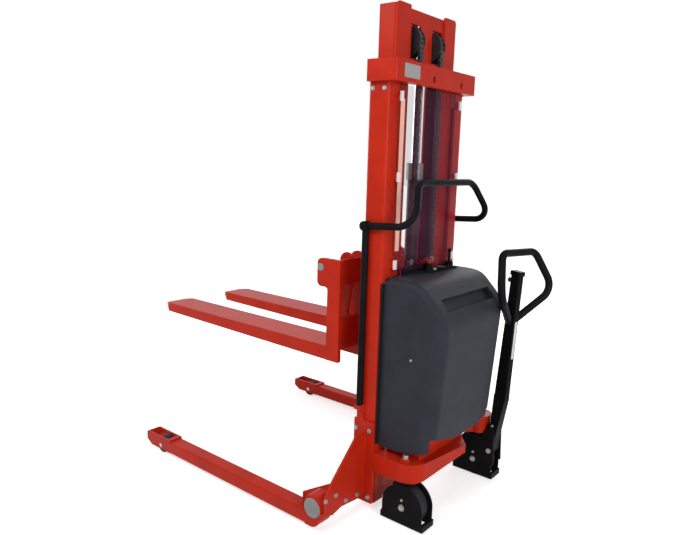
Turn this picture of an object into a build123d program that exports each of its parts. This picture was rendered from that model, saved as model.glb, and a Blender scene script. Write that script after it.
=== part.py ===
from build123d import *
import os

# Semi-electric straddle stacker, in millimetres.
# X is the operator's right, Y is forward along the forks, Z is up from the floor.
# While it is built, Y = 0 is the rear face of the outer mast columns.
# The last step moves the whole object so that its origin is at the centre of its footprint.
# The mast is shown part raised: LIFT_DOWN is how far the inner mast can still sink.

# General fits
RUN_FIT = 0.05
GAP = 0.3

# Outer mast
MAST_HALF = 287.0
COLUMN_DEPTH = 100.0
COLUMN_WEB = 8.0
COLUMN_FLANGE = 10.0
COLUMN_LIP = 57.0
COLUMN_REAR_LIP = 72.0
COLUMN_CORNER = 18.0
COLUMN_FOOT = 30.0
COLUMN_TOP = 1846.0
BEAM_HALF = 307.0
BEAM_REAR = -47.0
BEAM_FRONT = 93.0
BEAM_OVER_COLUMN = 9.0
BEAM_HEIGHT = 83.0
BEAM_PLATE = 8.0
BEAM_LEDGE = 35.0
BEAM_CORNER = 14.0
BEAM_SLOTS = (-41.0, 179.0)
BEAM_SLOT_DROP = 53.0
BEAM_SLOT_WIDTH = 16.0
BEAM_SLOT_HEIGHT = 28.0
FOOT_TIE_HEIGHT = 40.0
TIE_Z = 900.0
TIE_HEIGHT = 85.0
TIE_PLATE = 10.0

# Lift
LIFT_DOWN = 288.0
LIFT_UP = 962.0

# Inner mast, at the height where it is shown
INNER_HALF = 227.0
INNER_REAR = 20.0
INNER_DEPTH = 90.0
INNER_WEB = 8.0
INNER_FLANGE = 10.0
INNER_LIP = 98.0
INNER_CORNER = 14.0
INNER_BOTTOM = 373.0
INNER_TOP = 2073.0
INNER_TAB_RISE = 8.0
INNER_TAB_ROUND = 6.0
HEAD_BOTTOM = 1862.0
HEAD_TOP = 2070.0
HEAD_PLATE = 10.0
HEAD_SETBACK = 8.0
DECK_THICK = 12.0
WINDOW_BOTTOM = 1882.0
WINDOW_TOP = 2015.0
WINDOW_POST = 44.0
INNER_ROLLER_WIDTH = 34.0
INNER_ROLLER_RISE = 60.0
INNER_ROLLER_SIDE = 9.0
ROLLER_PIN_RADIUS = 14.0

# Chains and sheaves
SHEAVE_X = 78.0
SHEAVE_Y = 55.0
SHEAVE_Z = 1950.0
SHEAVE_PITCH = 52.0
SHEAVE_RIM = 62.0
SHEAVE_WIDTH = 38.0
SHEAVE_PIN = 12.0
SHEAVE_CHEEK = 6.0
CHEEK_GAP = 1.0
CHAIN_WIDTH = 26.0
CHAIN_THICK = 17.0
GROOVE_WIDTH = 29.0
FIXED_ANCHOR_TOP = 1064.0
CARRIAGE_ANCHOR_TOP = 905.0
ANCHOR_STUD = 6.0
CLEVIS_HALF = 12.0
CLEVIS_DEPTH = 16.0
ANCHOR_NUT = 9.0
ANCHOR_NUT_HEIGHT = 12.0
LUG_HALF = 15.0
LUG_HEIGHT = 28.0

# Lift cylinder
CYLINDER_Y = 55.0
CYLINDER_RADIUS = 29.0
CYLINDER_BORE = 24.0
CYLINDER_FLOOR = 16.0
GLAND_BOTTOM = 1395.0
GLAND_HEIGHT = 72.0
GLAND_RADIUS = 36.5
ROD_RADIUS = 18.0
PISTON_LENGTH = 36.0
PISTON_Z = 390.0

# Carriage and forks, at the height where they are shown
FORK_OUTER = 281.0
FORK_WIDTH = 161.0
FORK_TOP = 666.0
FORK_HEEL_DEPTH = 64.0
FORK_TIP_DEPTH = 46.0
FORK_TIP_Y = 1480.0
FORK_WALL = 8.0
FORK_TIP_TAPER = 42.0
FORK_TIP_NARROW = 17.0
FORK_TIP_ROUND = 14.0
PLATE_THICK = 20.0
PLATE_REAR = 221.0
PLATE_FRONT = 290.0
NOSE_FRONT = 350.0
NOSE_BOTTOM = 926.0
NOSE_THROAT = 14.0
PLATE_TOP = 1050.0
SHAFT_Y = 330.0
SHAFT_Z = 1010.0
SHAFT_RADIUS = 17.5
BAND_THICK = 12.0
UPPER_BAND_BOTTOM = 943.0
LOWER_BAND_BOTTOM = 671.0
LOWER_BAND_TOP = 798.0
SKIRT_BOTTOM = 607.0
RIB_X = 190.0
RIB_WAIST = 25.0
RIB_THICK = 10.0
RIB_TOP_RADIUS = 37.0
RIB_TOP_Z = 1038.0
ARM_X = 118.0
ARM_THICK = 12.0
ARM_FORK_GAP = 5.0
ARM_REAR = 42.0
ARM_BOTTOM = 655.0
UPPER_ROLLER_Z = 1010.0
LOWER_ROLLER_Z = 700.0
CARRIAGE_ROLLER_WIDTH = 40.0
CARRIAGE_ROLLER_X = 180.0

# Straddle legs
LEG_OUTER = 568.0
LEG_WIDTH = 72.0
LEG_TOP = 78.0
LEG_BOTTOM = 19.0
LEG_WALL = 6.0
LEG_EDGE = 9.0
TIP_AHEAD = 120.0
TIP_BEHIND = 74.0
TIP_TOP = 85.0
TIP_ROUND = 10.0
TIP_NOSE_RUN = 45.0
TIP_NOSE_RISE = 26.0
TIP_NOSE_BEVEL = 12.0
TIP_WALL = 12.0
TIP_CHEEK = 10.0
LEG_ROLLER_Y = 1110.0
LEG_ROLLER_RADIUS = 41.0
LEG_ROLLER_SIDE = 1.0
LEG_ROLLER_SLOT = 8.0
LEG_AXLE_RADIUS = 10.0
HEEL_REAR = 52.0
HEEL_FRONT = 128.0
HEEL_TOP = 150.0
HEEL_ROUND = 26.0
HEEL_FOOT_ROUND = 44.0
ARM_BOX_BOTTOM = 62.0
ARM_BOX_TOP = 142.0
ARM_BOX_FRONT = 113.0
ARM_LAP = 20.0
ARM_SLANT = 68.0
ARM_TOE_FRONT = 190.0
ARM_TOE_TOP = 115.0
CAP_RADIUS = 41.0
CAP_THICK = 5.0
CAP_Y = 88.0
CAP_Z = 102.0
BRACKET_THICK = 10.0
BRACKET_FRONT = 104.0
BRACKET_BOTTOM = 34.0
BRACKET_TOP = 395.0
GUSSET_TOP = 345.0
GUSSET_TOP_REACH = 58.0
GUSSET_FOOT_Z = 203.0
GUSSET_FOOT_INSET = 70.0
GUSSET_TIP_INSET = 17.0
GUSSET_BOTTOM = 56.0
GUSSET_ARCH_INSET = 57.0
GUSSET_ARCH_Z = 70.0

# Push handle
HANDLE_RADIUS = 14.0
HANDLE_POST_Y = 76.0
HANDLE_POST_FOOT = 460.0
HANDLE_RAIL_Z = 1213.0
HANDLE_REAR_Y = -166.0
HANDLE_REAR_Z = 1228.0
HANDLE_REAR_HALF = 309.0
HANDLE_TOP_Z = 1392.0
HANDLE_TOP_Y = -110.0
HANDLE_TOP_HALF = 216.0
HANDLE_BEND = 66.0
KNUCKLE_RADIUS = 20.0
KNUCKLE_CAP = 6.0

# Safety screen
SCREEN_THICK = 3.0
SCREEN_BOTTOM = 1024.0
SCREEN_TOP_GAP = 6.0
SCREEN_HALF = 228.0
CLIP_WIDTH = 16.0
CLIP_HEIGHT = 38.0
CLIP_X = 224.0
CLIP_DEPTH = 8.0
CLIP_STANDOFF = 15.0
CLIP_TAB_HEIGHT = 30.0
CLIP_LOW_Z = 1058.0
CLIP_MIDDLE_Z = 1410.0
CLIP_TOP_DROP = 50.0

# Base pan behind the mast
PAN_HALF = 296.0
PAN_TOP = 264.0
PAN_BOTTOM = 183.0
PAN_PLATE = 8.0
PAN_REAR_LEFT = -206.0
PAN_REAR_RIGHT = -250.0
PAN_REAR_END = 45.0
PAN_RIGHT = 215.0
PAN_NOTCH_Y = -100.0
PAN_CORNER = 88.0
FLANGE_RISE = 45.0
FLANGE_START = 25.0
PLINTH_HEIGHT = 62.0
PLINTH_EDGE = 5.0

# Wheels, shared by castor and steered wheel
WHEEL_RADIUS = 82.0
WHEEL_WIDTH = 62.0
AXLE_RADIUS = 10.0
GUARD_HALF = 42.0
GUARD_PLATE = 6.0
GUARD_RADIUS = 97.0
GUARD_BOTTOM = 10.0
TOE_HEIGHT = 26.0
TOE_REACH = 7.0
HUB_RADIUS = 24.0
HUB_SIDE = 4.0

# Left castor
CASTOR_X = -262.0
CASTOR_SWIVEL_Y = -142.0
CASTOR_TRAIL = 18.0
CASTOR_BRIDGE = 171.0
KINGPIN_RADIUS = 12.0
KINGPIN_BOSS = 26.0
KINGPIN_NUT = 17.0
KINGPIN_NUT_HEIGHT = 12.0
KINGPIN_END = 18.0

# Steered wheel at the right
STEER_X = 326.0
STEER_Y = -165.0
STEER_HEAD_RADIUS = 56.0
STEER_HEAD_BOTTOM = 222.0
STEER_HEAD_TOP = 303.0
STEER_PIN_RADIUS = 20.0
STEER_BRIDGE = 192.0
STEER_REAR_TOP = 283.0
STEER_NUT_RADIUS = 28.0
STEER_NUT_HEIGHT = 10.0

# Tiller
PIVOT_Y = -246.0
PIVOT_Z = 148.0
PIVOT_RADIUS = 8.0
TILLER_LEAN = 4.0
TILLER_YAW = 14.0
TILLER_BOSS = 17.0
TILLER_FOOT_WIDTH = 60.0
TILLER_FOOT_DEPTH = 32.0
TILLER_NECK = 60.0
TILLER_TAPER_TOP = 270.0
TILLER_TUBE_WIDTH = 32.0
TILLER_TUBE_DEPTH = 48.0
TILLER_FLARE = 18.0
TILLER_TUBE_TOP = 842.0
TILLER_WALL = 4.0
CABLE_SLOT = 12.0
TILLER_CAP_HEIGHT = 20.0
TILLER_CAP_BROW = 5.0
LOOP_RADIUS = 17.0
LOOP_FOOT = 628.0
LOOP_WIDE = 783.0
LOOP_WIDE_HALF = 182.0
LOOP_WIDE_BACK = 70.0
LOOP_TOP = 945.0
LOOP_TOP_HALF = 113.0
LOOP_TOP_BACK = -9.0
LOOP_TOP_BEND = 46.0
LOOP_WIDE_BEND = 76.0
BUTTON_RADIUS = 11.0
BUTTON_Z = 814.0
BUTTON_TRAVEL = 5.0
BUTTON_PROUD = 13.0
BUTTON_STEM = 8.0
BUTTON_SOCKET = 16.0

# Rear cover
COVER_HALF = 265.0
COVER_WALL = 4.0
COVER_FRONT = -0.3
COVER_BOTTOM = 293.0
COVER_FOOT_RISE = 27.0
COVER_FOOT_TURN = -95.0
COVER_TOP = 1006.0
COVER_FLAT = -95.0
COVER_SHOULDER_Y = -208.0
COVER_SHOULDER_Z = 960.0
COVER_BROW_Y = -264.0
COVER_BROW_Z = 898.0
COVER_BACK_Y = -286.0
COVER_BACK_Z = 815.0
COVER_FOOT_Y = -248.0
COVER_CORNER = 57.0
COVER_HOOD_ROUND = 24.0
COVER_REAR_LIFT = 37.0
COVER_CORNER_LIFT = 87.0
COVER_TAB = 21.0
GRIP_HALF = 195.0
GRIP_HEIGHT = 56.0
GRIP_DEPTH = 26.0
GRIP_Y = -245.0
GRIP_Z = 922.0
GRIP_TILT = 39.0

# Drive and power inside the cover
BATTERY_X = (-165.0, -52.0)
BATTERY_WIDTH = 112.0
BATTERY_REAR = -180.0
BATTERY_FRONT = -25.0
BATTERY_HEIGHT = 210.0
TANK_LEFT = 5.0
TANK_RIGHT = 125.0
TANK_REAR = -150.0
TANK_FRONT = -25.0
TANK_HEIGHT = 166.0
BLOCK_HEIGHT = 60.0
BLOCK_INSET = 12.0
MOTOR_RADIUS = 52.0
MOTOR_HEIGHT = 190.0
CHARGER_HEIGHT = 120.0
CHARGER_INSET = 18.0
HOSE_RADIUS = 8.0
PORT_Z = 130.0
PORT_SIZE = 24.0
PORT_REACH = 4.0
HOSE_X = 58.0
HOSE_BEND = 20.0

# Controls on top of the cover
PANEL_LEFT = -160.0
PANEL_RIGHT = 200.0
PANEL_REAR = -66.0
PANEL_FRONT = -8.0
PANEL_ARM_REAR = -15.0
PANEL_ARM_END = -72.0
PANEL_SLANT_END = -10.0
SILL_RIGHT = 60.0
SILL_HEIGHT = 35.0
PANEL_THICK = 8.0
STOP_X = -6.0
LEVER_X = 165.0
CONTROL_Y = -43.0
STOP_COLLAR = 19.0
STOP_COLLAR_HEIGHT = 30.0
STOP_CAP = 18.0
STOP_CAP_HEIGHT = 16.0
STOP_STEM = 8.0
STOP_TRAVEL = 6.0
LEVER_CHEEK = 22.0
LEVER_PIVOT_RISE = 14.0
LEVER_STEM = 4.5
LEVER_LENGTH = 58.0
LEVER_BALL = 10.0
LEVER_HUB = 8.0
LEVER_HUB_HALF = 9.0

# Bolts
BOLT_RADIUS = 9.0
BOLT_HEAD = 7.0
SCREW_RADIUS = 6.0
SCREW_HEAD = 4.0
HEEL_BOLTS = ((25.0, 136.0), (87.0, 138.0))
GUSSET_BOLTS = ((119.0, 88.0), (44.0, 82.0))
SIDE_BOLTS = ((92.0, 352.0), (24.0, 355.0), (18.0, 60.0))
MAST_BOLTS = (76.0, 20.0)
COVER_SCREW_Y = -146.0
COVER_SCREW_Z = 694.0
PAD_HEIGHT = 56.0
PAD_DROP = 25.0
PAD_PLAY = 0.4

# Values that follow from the sizes above
BEAM_TOP = COLUMN_TOP + BEAM_OVER_COLUMN
BEAM_BOTTOM = BEAM_TOP - BEAM_HEIGHT
BEAM_SLOT_Z = BEAM_TOP - BEAM_SLOT_DROP
PAD_Z = BEAM_BOTTOM - PAD_DROP
CLIP_HEIGHTS = (CLIP_LOW_Z, CLIP_MIDDLE_Z, BEAM_BOTTOM - CLIP_TOP_DROP)
COLUMN_INNER_FACE = MAST_HALF - COLUMN_WEB
LIP_EDGE = MAST_HALF - COLUMN_LIP
INNER_FRONT = INNER_REAR + INNER_DEPTH
INNER_INNER_FACE = INNER_HALF - INNER_WEB
INNER_LIP_EDGE = INNER_HALF - INNER_LIP
INNER_ROLLER_RADIUS = COLUMN_DEPTH / 2 - COLUMN_FLANGE - GAP
INNER_ROLLER_Z = INNER_BOTTOM + INNER_ROLLER_RISE
CARRIAGE_ROLLER_RADIUS = INNER_DEPTH / 2 - INNER_FLANGE - GAP
CARRIAGE_ROLLER_Y = INNER_REAR + INNER_DEPTH / 2
FOOT_TIE_TOP = COLUMN_FOOT + FOOT_TIE_HEIGHT
FORK_INNER = FORK_OUTER - FORK_WIDTH
LEG_INNER = LEG_OUTER - LEG_WIDTH
LEG_CENTRE = LEG_OUTER - LEG_WIDTH / 2
LEG_TIP_Y = LEG_ROLLER_Y + TIP_AHEAD
TIP_START = LEG_ROLLER_Y - TIP_BEHIND
BRACKET_OUTER = MAST_HALF + BRACKET_THICK
SCREEN_Y = -CLIP_STANDOFF - CLIP_DEPTH / 2 - SCREEN_THICK / 2
HANDLE_X = MAST_HALF + HANDLE_RADIUS + 1.0
CASTOR_AXLE_Y = CASTOR_SWIVEL_Y - CASTOR_TRAIL
TILLER_PLACE = Pos(STEER_X, PIVOT_Y, PIVOT_Z) * Rot(TILLER_LEAN, 0, 0)
TILLER_TURN = TILLER_PLACE * Rot(0, 0, -TILLER_YAW)
PANEL_TOP = COVER_TOP + PANEL_THICK
PLINTH_TOP = PAN_TOP + PLINTH_HEIGHT
REAR_CHAIN_Y = SHEAVE_Y - SHEAVE_PITCH
FRONT_CHAIN_Y = SHEAVE_Y + SHEAVE_PITCH


# Small helpers

def block(x0, x1, y0, y1, z0, z1):
    return Pos((x0 + x1) / 2, (y0 + y1) / 2, (z0 + z1) / 2) * Box(x1 - x0, y1 - y0, z1 - z0)


def rod_x(x0, x1, y, z, radius):
    return Pos((x0 + x1) / 2, y, z) * Rot(0, 90, 0) * Cylinder(radius, x1 - x0)


def rod_y(y0, y1, x, z, radius):
    return Pos(x, (y0 + y1) / 2, z) * Rot(90, 0, 0) * Cylinder(radius, y1 - y0)


def rod_z(z0, z1, x, y, radius):
    return Pos(x, y, (z0 + z1) / 2) * Cylinder(radius, z1 - z0)


def face_of(points):
    return make_face(Polyline(*points, close=True))


def plate_yz(face, x0, x1):
    return Pos(x0, 0, 0) * extrude(Plane.YZ * face, x1 - x0)


def plate_xz(face, y0, y1):
    return Pos(0, y1, 0) * extrude(Plane.XZ * face, y1 - y0)


def plate_xy(face, z0, z1):
    return Pos(0, 0, z0) * extrude(face, z1 - z0)


def other_side(shape):
    return mirror(shape, about=Plane.YZ)


def both_sides(shapes):
    return list(shapes) + [other_side(shape) for shape in shapes]


def bent_path(points, radii):
    """Straight runs through the points, with each corner between them bent at its own radius."""
    spots = [Vector(*point) for point in points]
    start = spots[0]
    runs = []
    for before, corner, after, radius in zip(spots, spots[1:], spots[2:], radii):
        back = (before - corner).normalized()
        ahead = (after - corner).normalized()
        middle = (back + ahead).normalized()
        along = middle.dot(back)
        across = (1 - along ** 2) ** 0.5
        bend_start = corner + back * (radius * along / across)
        bend_end = corner + ahead * (radius * along / across)
        bend_middle = corner + middle * (radius / across - radius)
        runs += Line(start, bend_start).edges()
        runs += ThreePointArc(bend_start, bend_middle, bend_end).edges()
        start = bend_end
    runs += Line(start, spots[-1]).edges()
    return Wire(runs)


def corner_edges(shape, axis, x_sign=0, y_sign=0):
    edges = shape.edges().filter_by(axis)
    if x_sign:
        edges = edges.group_by(Axis.X)[-1 if x_sign > 0 else 0]
    if y_sign:
        edges = edges.group_by(Axis.Y)[-1 if y_sign > 0 else 0]
    return edges


# Outer mast

def outer_column():
    rear_edge = MAST_HALF - COLUMN_REAR_LIP
    body = block(rear_edge, MAST_HALF, 0, COLUMN_DEPTH, COLUMN_FOOT, COLUMN_TOP)
    body = fillet(corner_edges(body, Axis.Z, x_sign=1), COLUMN_CORNER)
    hollow = block(
        rear_edge - 1, COLUMN_INNER_FACE,
        COLUMN_FLANGE, COLUMN_DEPTH - COLUMN_FLANGE,
        COLUMN_FOOT - 1, COLUMN_TOP + 1,
    )
    short_front = block(
        rear_edge - 1, LIP_EDGE,
        COLUMN_DEPTH - COLUMN_FLANGE - 1, COLUMN_DEPTH + 1,
        COLUMN_FOOT - 1, COLUMN_TOP + 1,
    )
    column = body - hollow - short_front
    half = CLIP_TAB_HEIGHT / 2
    for z in CLIP_HEIGHTS:
        column += block(CLIP_X - CLIP_WIDTH / 2, CLIP_X + CLIP_WIDTH / 2, -CLIP_STANDOFF, 1, z - half, z + half)
    return column


def top_crossbeam():
    bottom = BEAM_TOP - BEAM_HEIGHT
    inner_half = BEAM_HALF - BEAM_PLATE
    wrap = block(-BEAM_HALF, BEAM_HALF, BEAM_REAR, BEAM_FRONT, bottom, BEAM_TOP)
    wrap = fillet(corner_edges(wrap, Axis.Z, y_sign=-1), BEAM_CORNER)
    core = block(-inner_half, inner_half, BEAM_REAR + BEAM_PLATE, BEAM_FRONT + 1, bottom - 1, BEAM_TOP + 1)
    core = fillet(corner_edges(core, Axis.Z, y_sign=-1), BEAM_CORNER - BEAM_PLATE)
    beam = wrap - core
    for z in (bottom, BEAM_TOP - BEAM_PLATE):
        beam += block(
            -inner_half, inner_half,
            BEAM_REAR + BEAM_PLATE / 2, BEAM_REAR + BEAM_LEDGE,
            z, z + BEAM_PLATE,
        )
    for side in (-1, 1):
        x0, x1 = sorted((side * MAST_HALF, side * (BEAM_HALF - BEAM_PLATE / 2)))
        beam += block(x0, x1, 0, BEAM_FRONT, bottom, COLUMN_TOP)
        x0, x1 = sorted((side * (LIP_EDGE + 12), side * (BEAM_HALF - BEAM_PLATE / 2)))
        beam += block(x0, x1, BEAM_REAR + BEAM_PLATE / 2, 0, bottom, COLUMN_TOP)
    for x in BEAM_SLOTS:
        beam -= beam_slot(x)
    return beam


def beam_slot(x):
    rear = BEAM_REAR - 1
    front = BEAM_REAR + BEAM_PLATE + 1
    half = BEAM_SLOT_WIDTH / 2
    straight = BEAM_SLOT_HEIGHT / 2 - half
    slot = block(x - half, x + half, rear, front, BEAM_SLOT_Z - straight, BEAM_SLOT_Z + straight)
    for z in (BEAM_SLOT_Z - straight, BEAM_SLOT_Z + straight):
        slot += rod_y(rear, front, x, z, half)
    return slot


def mast_ties():
    foot = block(
        -COLUMN_INNER_FACE, COLUMN_INNER_FACE,
        COLUMN_FLANGE, COLUMN_DEPTH - COLUMN_FLANGE,
        COLUMN_FOOT, FOOT_TIE_TOP,
    )
    half = COVER_HALF - COVER_WALL - GAP
    lug_top = TIE_Z + TIE_HEIGHT
    plate = block(-half, half, -TIE_PLATE, 0, TIE_Z, lug_top)
    for x in (-SHEAVE_X, SHEAVE_X):
        lug = block(x - LUG_HALF, x + LUG_HALF, -TIE_PLATE, INNER_REAR - 5, lug_top - LUG_HEIGHT, lug_top)
        nut_room = rod_z(TIE_Z - 1, lug_top - LUG_HEIGHT, x, REAR_CHAIN_Y, ANCHOR_NUT + 1)
        plate = plate - nut_room + lug
        plate -= rod_z(TIE_Z - 1, lug_top + 1, x, REAR_CHAIN_Y, ANCHOR_STUD)
    return [foot, plate]


def chain_anchors():
    lug_top = TIE_Z + TIE_HEIGHT
    anchors = []
    for x in (-SHEAVE_X, SHEAVE_X):
        nut_top = lug_top - LUG_HEIGHT
        stud = rod_z(nut_top - ANCHOR_NUT_HEIGHT - 6, lug_top + 4, x, REAR_CHAIN_Y, ANCHOR_STUD)
        stud += block(
            x - CLEVIS_HALF, x + CLEVIS_HALF,
            REAR_CHAIN_Y - CLEVIS_DEPTH / 2, REAR_CHAIN_Y + CLEVIS_DEPTH / 2,
            lug_top, FIXED_ANCHOR_TOP,
        )
        stud += rod_z(nut_top - ANCHOR_NUT_HEIGHT, nut_top, x, REAR_CHAIN_Y, ANCHOR_NUT)
        anchors.append(stud)
    return anchors


def mast_wear_pads():
    pad = block(
        INNER_HALF + PAD_PLAY, COLUMN_INNER_FACE,
        COLUMN_FLANGE, COLUMN_DEPTH - COLUMN_FLANGE,
        PAD_Z - PAD_HEIGHT / 2, PAD_Z + PAD_HEIGHT / 2,
    )
    return both_sides([pad])


# Inner mast

def inner_column():
    body = block(INNER_LIP_EDGE, INNER_HALF, INNER_REAR, INNER_FRONT, INNER_BOTTOM, INNER_TOP)
    body = fillet(corner_edges(body, Axis.Z, x_sign=1), INNER_CORNER)
    hollow = block(
        INNER_LIP_EDGE - 1, INNER_INNER_FACE,
        INNER_REAR + INNER_FLANGE, INNER_FRONT - INNER_FLANGE,
        INNER_BOTTOM - 1, INNER_TOP + 1,
    )
    pin_hole = rod_x(
        INNER_INNER_FACE - 1, INNER_HALF + 1, COLUMN_DEPTH / 2, INNER_ROLLER_Z, ROLLER_PIN_RADIUS,
    )
    tab = block(
        INNER_LIP_EDGE, INNER_HALF - INNER_CORNER, INNER_REAR, INNER_REAR + INNER_FLANGE,
        INNER_TOP - 1, INNER_TOP + INNER_TAB_RISE,
    )
    tab = fillet(tab.edges().filter_by(Axis.Y).group_by(Axis.Z)[-1], INNER_TAB_ROUND)
    return body - hollow - pin_hole + tab


def inner_crosshead():
    rear = INNER_REAR + HEAD_SETBACK
    head = block(-INNER_LIP_EDGE, INNER_LIP_EDGE, rear, rear + HEAD_PLATE, HEAD_BOTTOM, HEAD_TOP)
    for side in (-1, 1):
        x0, x1 = sorted((side * WINDOW_POST, side * (INNER_LIP_EDGE - 8)))
        head -= block(x0, x1, rear - 1, rear + HEAD_PLATE + 1, WINDOW_BOTTOM, WINDOW_TOP)
    cheek_inner = SHEAVE_X - SHEAVE_WIDTH / 2 - CHEEK_GAP - SHEAVE_CHEEK
    cheek_outer = SHEAVE_X + SHEAVE_WIDTH / 2 + CHEEK_GAP
    pin_hole = rod_x(-INNER_HALF, INNER_HALF, SHEAVE_Y, SHEAVE_Z, SHEAVE_PIN)
    for side in (-1, 1):
        for x in (cheek_inner, cheek_outer):
            x0, x1 = sorted((side * x, side * (x + SHEAVE_CHEEK)))
            cheek = block(x0, x1, rear + HEAD_PLATE - 1, SHEAVE_Y + 24, HEAD_BOTTOM, HEAD_TOP)
            head += cheek - pin_hole
    deck_half = cheek_outer + SHEAVE_CHEEK
    deck = block(-deck_half, deck_half, rear, SHEAVE_Y + 24, HEAD_BOTTOM - DECK_THICK, HEAD_BOTTOM + 1)
    return head + deck


def inner_mast_pins():
    pins = []
    outer = SHEAVE_X + SHEAVE_WIDTH / 2 + CHEEK_GAP + SHEAVE_CHEEK
    inner = SHEAVE_X - SHEAVE_WIDTH / 2 - CHEEK_GAP - SHEAVE_CHEEK
    pins.append(rod_x(inner, outer, SHEAVE_Y, SHEAVE_Z, SHEAVE_PIN))
    reach = INNER_HALF + INNER_ROLLER_SIDE + INNER_ROLLER_WIDTH + 4
    pins.append(rod_x(INNER_INNER_FACE, reach, COLUMN_DEPTH / 2, INNER_ROLLER_Z, ROLLER_PIN_RADIUS))
    return both_sides(pins)


def inner_roller():
    x0 = INNER_HALF + INNER_ROLLER_SIDE
    x1 = x0 + INNER_ROLLER_WIDTH
    roller = rod_x(x0, x1, COLUMN_DEPTH / 2, INNER_ROLLER_Z, INNER_ROLLER_RADIUS)
    roller = chamfer(roller.edges().filter_by(GeomType.CIRCLE), 2.0)
    return roller - rod_x(x0 - 1, x1 + 1, COLUMN_DEPTH / 2, INNER_ROLLER_Z, ROLLER_PIN_RADIUS + RUN_FIT)


def lift_rod():
    piston = CYLINDER_BORE - GAP
    rod = rod_z(PISTON_Z, HEAD_BOTTOM - DECK_THICK, 0, CYLINDER_Y, ROD_RADIUS)
    return rod + rod_z(PISTON_Z, PISTON_Z + PISTON_LENGTH, 0, CYLINDER_Y, piston)


def chain_sheave():
    x0 = SHEAVE_X - SHEAVE_WIDTH / 2
    x1 = SHEAVE_X + SHEAVE_WIDTH / 2
    sheave = rod_x(x0, x1, SHEAVE_Y, SHEAVE_Z, SHEAVE_RIM)
    sheave = chamfer(sheave.edges().filter_by(GeomType.CIRCLE), 1.5)
    groove_floor = SHEAVE_PITCH - CHAIN_THICK / 2 - GAP
    groove_half = GROOVE_WIDTH / 2
    groove = rod_x(SHEAVE_X - groove_half, SHEAVE_X + groove_half, SHEAVE_Y, SHEAVE_Z, SHEAVE_RIM + 5)
    groove -= rod_x(x0, x1, SHEAVE_Y, SHEAVE_Z, groove_floor)
    return sheave - groove - rod_x(x0 - 1, x1 + 1, SHEAVE_Y, SHEAVE_Z, SHEAVE_PIN + RUN_FIT)


def chain_wraps():
    x0 = SHEAVE_X - CHAIN_WIDTH / 2
    x1 = SHEAVE_X + CHAIN_WIDTH / 2
    wrap = rod_x(x0, x1, SHEAVE_Y, SHEAVE_Z, SHEAVE_PITCH + CHAIN_THICK / 2)
    wrap -= rod_x(x0 - 1, x1 + 1, SHEAVE_Y, SHEAVE_Z, SHEAVE_PITCH - CHAIN_THICK / 2)
    wrap -= block(x0 - 1, x1 + 1, SHEAVE_Y - 80, SHEAVE_Y + 80, SHEAVE_Z - 80, SHEAVE_Z)
    return both_sides([wrap])


def chain_run(y, z0, z1):
    half = CHAIN_WIDTH / 2
    return block(SHEAVE_X - half, SHEAVE_X + half, y - CHAIN_THICK / 2, y + CHAIN_THICK / 2, z0, z1)


# Lift cylinder

def lift_cylinder():
    tube = rod_z(FOOT_TIE_TOP, GLAND_BOTTOM, 0, CYLINDER_Y, CYLINDER_RADIUS)
    tube += block(
        0, CYLINDER_RADIUS + PORT_REACH, CYLINDER_Y - PORT_SIZE / 2, CYLINDER_Y + PORT_SIZE / 2,
        PORT_Z - PORT_SIZE / 2, PORT_Z + PORT_SIZE / 2,
    )
    return tube - rod_z(FOOT_TIE_TOP + CYLINDER_FLOOR, GLAND_BOTTOM + 1, 0, CYLINDER_Y, CYLINDER_BORE)


def cylinder_gland():
    top = GLAND_BOTTOM + GLAND_HEIGHT
    gland = rod_z(GLAND_BOTTOM, top, 0, CYLINDER_Y, GLAND_RADIUS)
    gland = chamfer(gland.edges().filter_by(GeomType.CIRCLE), 3.0)
    return gland - rod_z(GLAND_BOTTOM - 1, top + 1, 0, CYLINDER_Y, ROD_RADIUS + RUN_FIT)


# Forks and carriage

def fork():
    heel_bottom = FORK_TOP - FORK_HEEL_DEPTH
    tip_bottom = FORK_TOP - FORK_TIP_DEPTH
    tip_start = FORK_TIP_Y - FORK_TIP_TAPER
    side = face_of([
        (PLATE_REAR, heel_bottom),
        (tip_start, tip_bottom),
        (FORK_TIP_Y, FORK_TOP - 16),
        (FORK_TIP_Y, FORK_TOP - 5),
        (tip_start, FORK_TOP),
        (PLATE_REAR, FORK_TOP),
    ])
    plan = face_of([
        (FORK_INNER, PLATE_REAR),
        (FORK_OUTER, PLATE_REAR),
        (FORK_OUTER, tip_start),
        (FORK_OUTER - FORK_TIP_NARROW, FORK_TIP_Y),
        (FORK_INNER + FORK_TIP_NARROW, FORK_TIP_Y),
        (FORK_INNER, tip_start),
    ])
    plan = fillet(plan.vertices().group_by(Axis.Y)[-1], FORK_TIP_ROUND)
    blade = plate_yz(side, FORK_INNER, FORK_OUTER) & plate_xy(plan, heel_bottom - 1, FORK_TOP + 1)
    channel = block(
        FORK_INNER + FORK_WALL, FORK_OUTER - PLATE_THICK,
        PLATE_REAR - 1, tip_start - 20,
        heel_bottom - 1, FORK_TOP - FORK_WALL,
    )
    return blade - channel + fork_side_plate()


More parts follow.
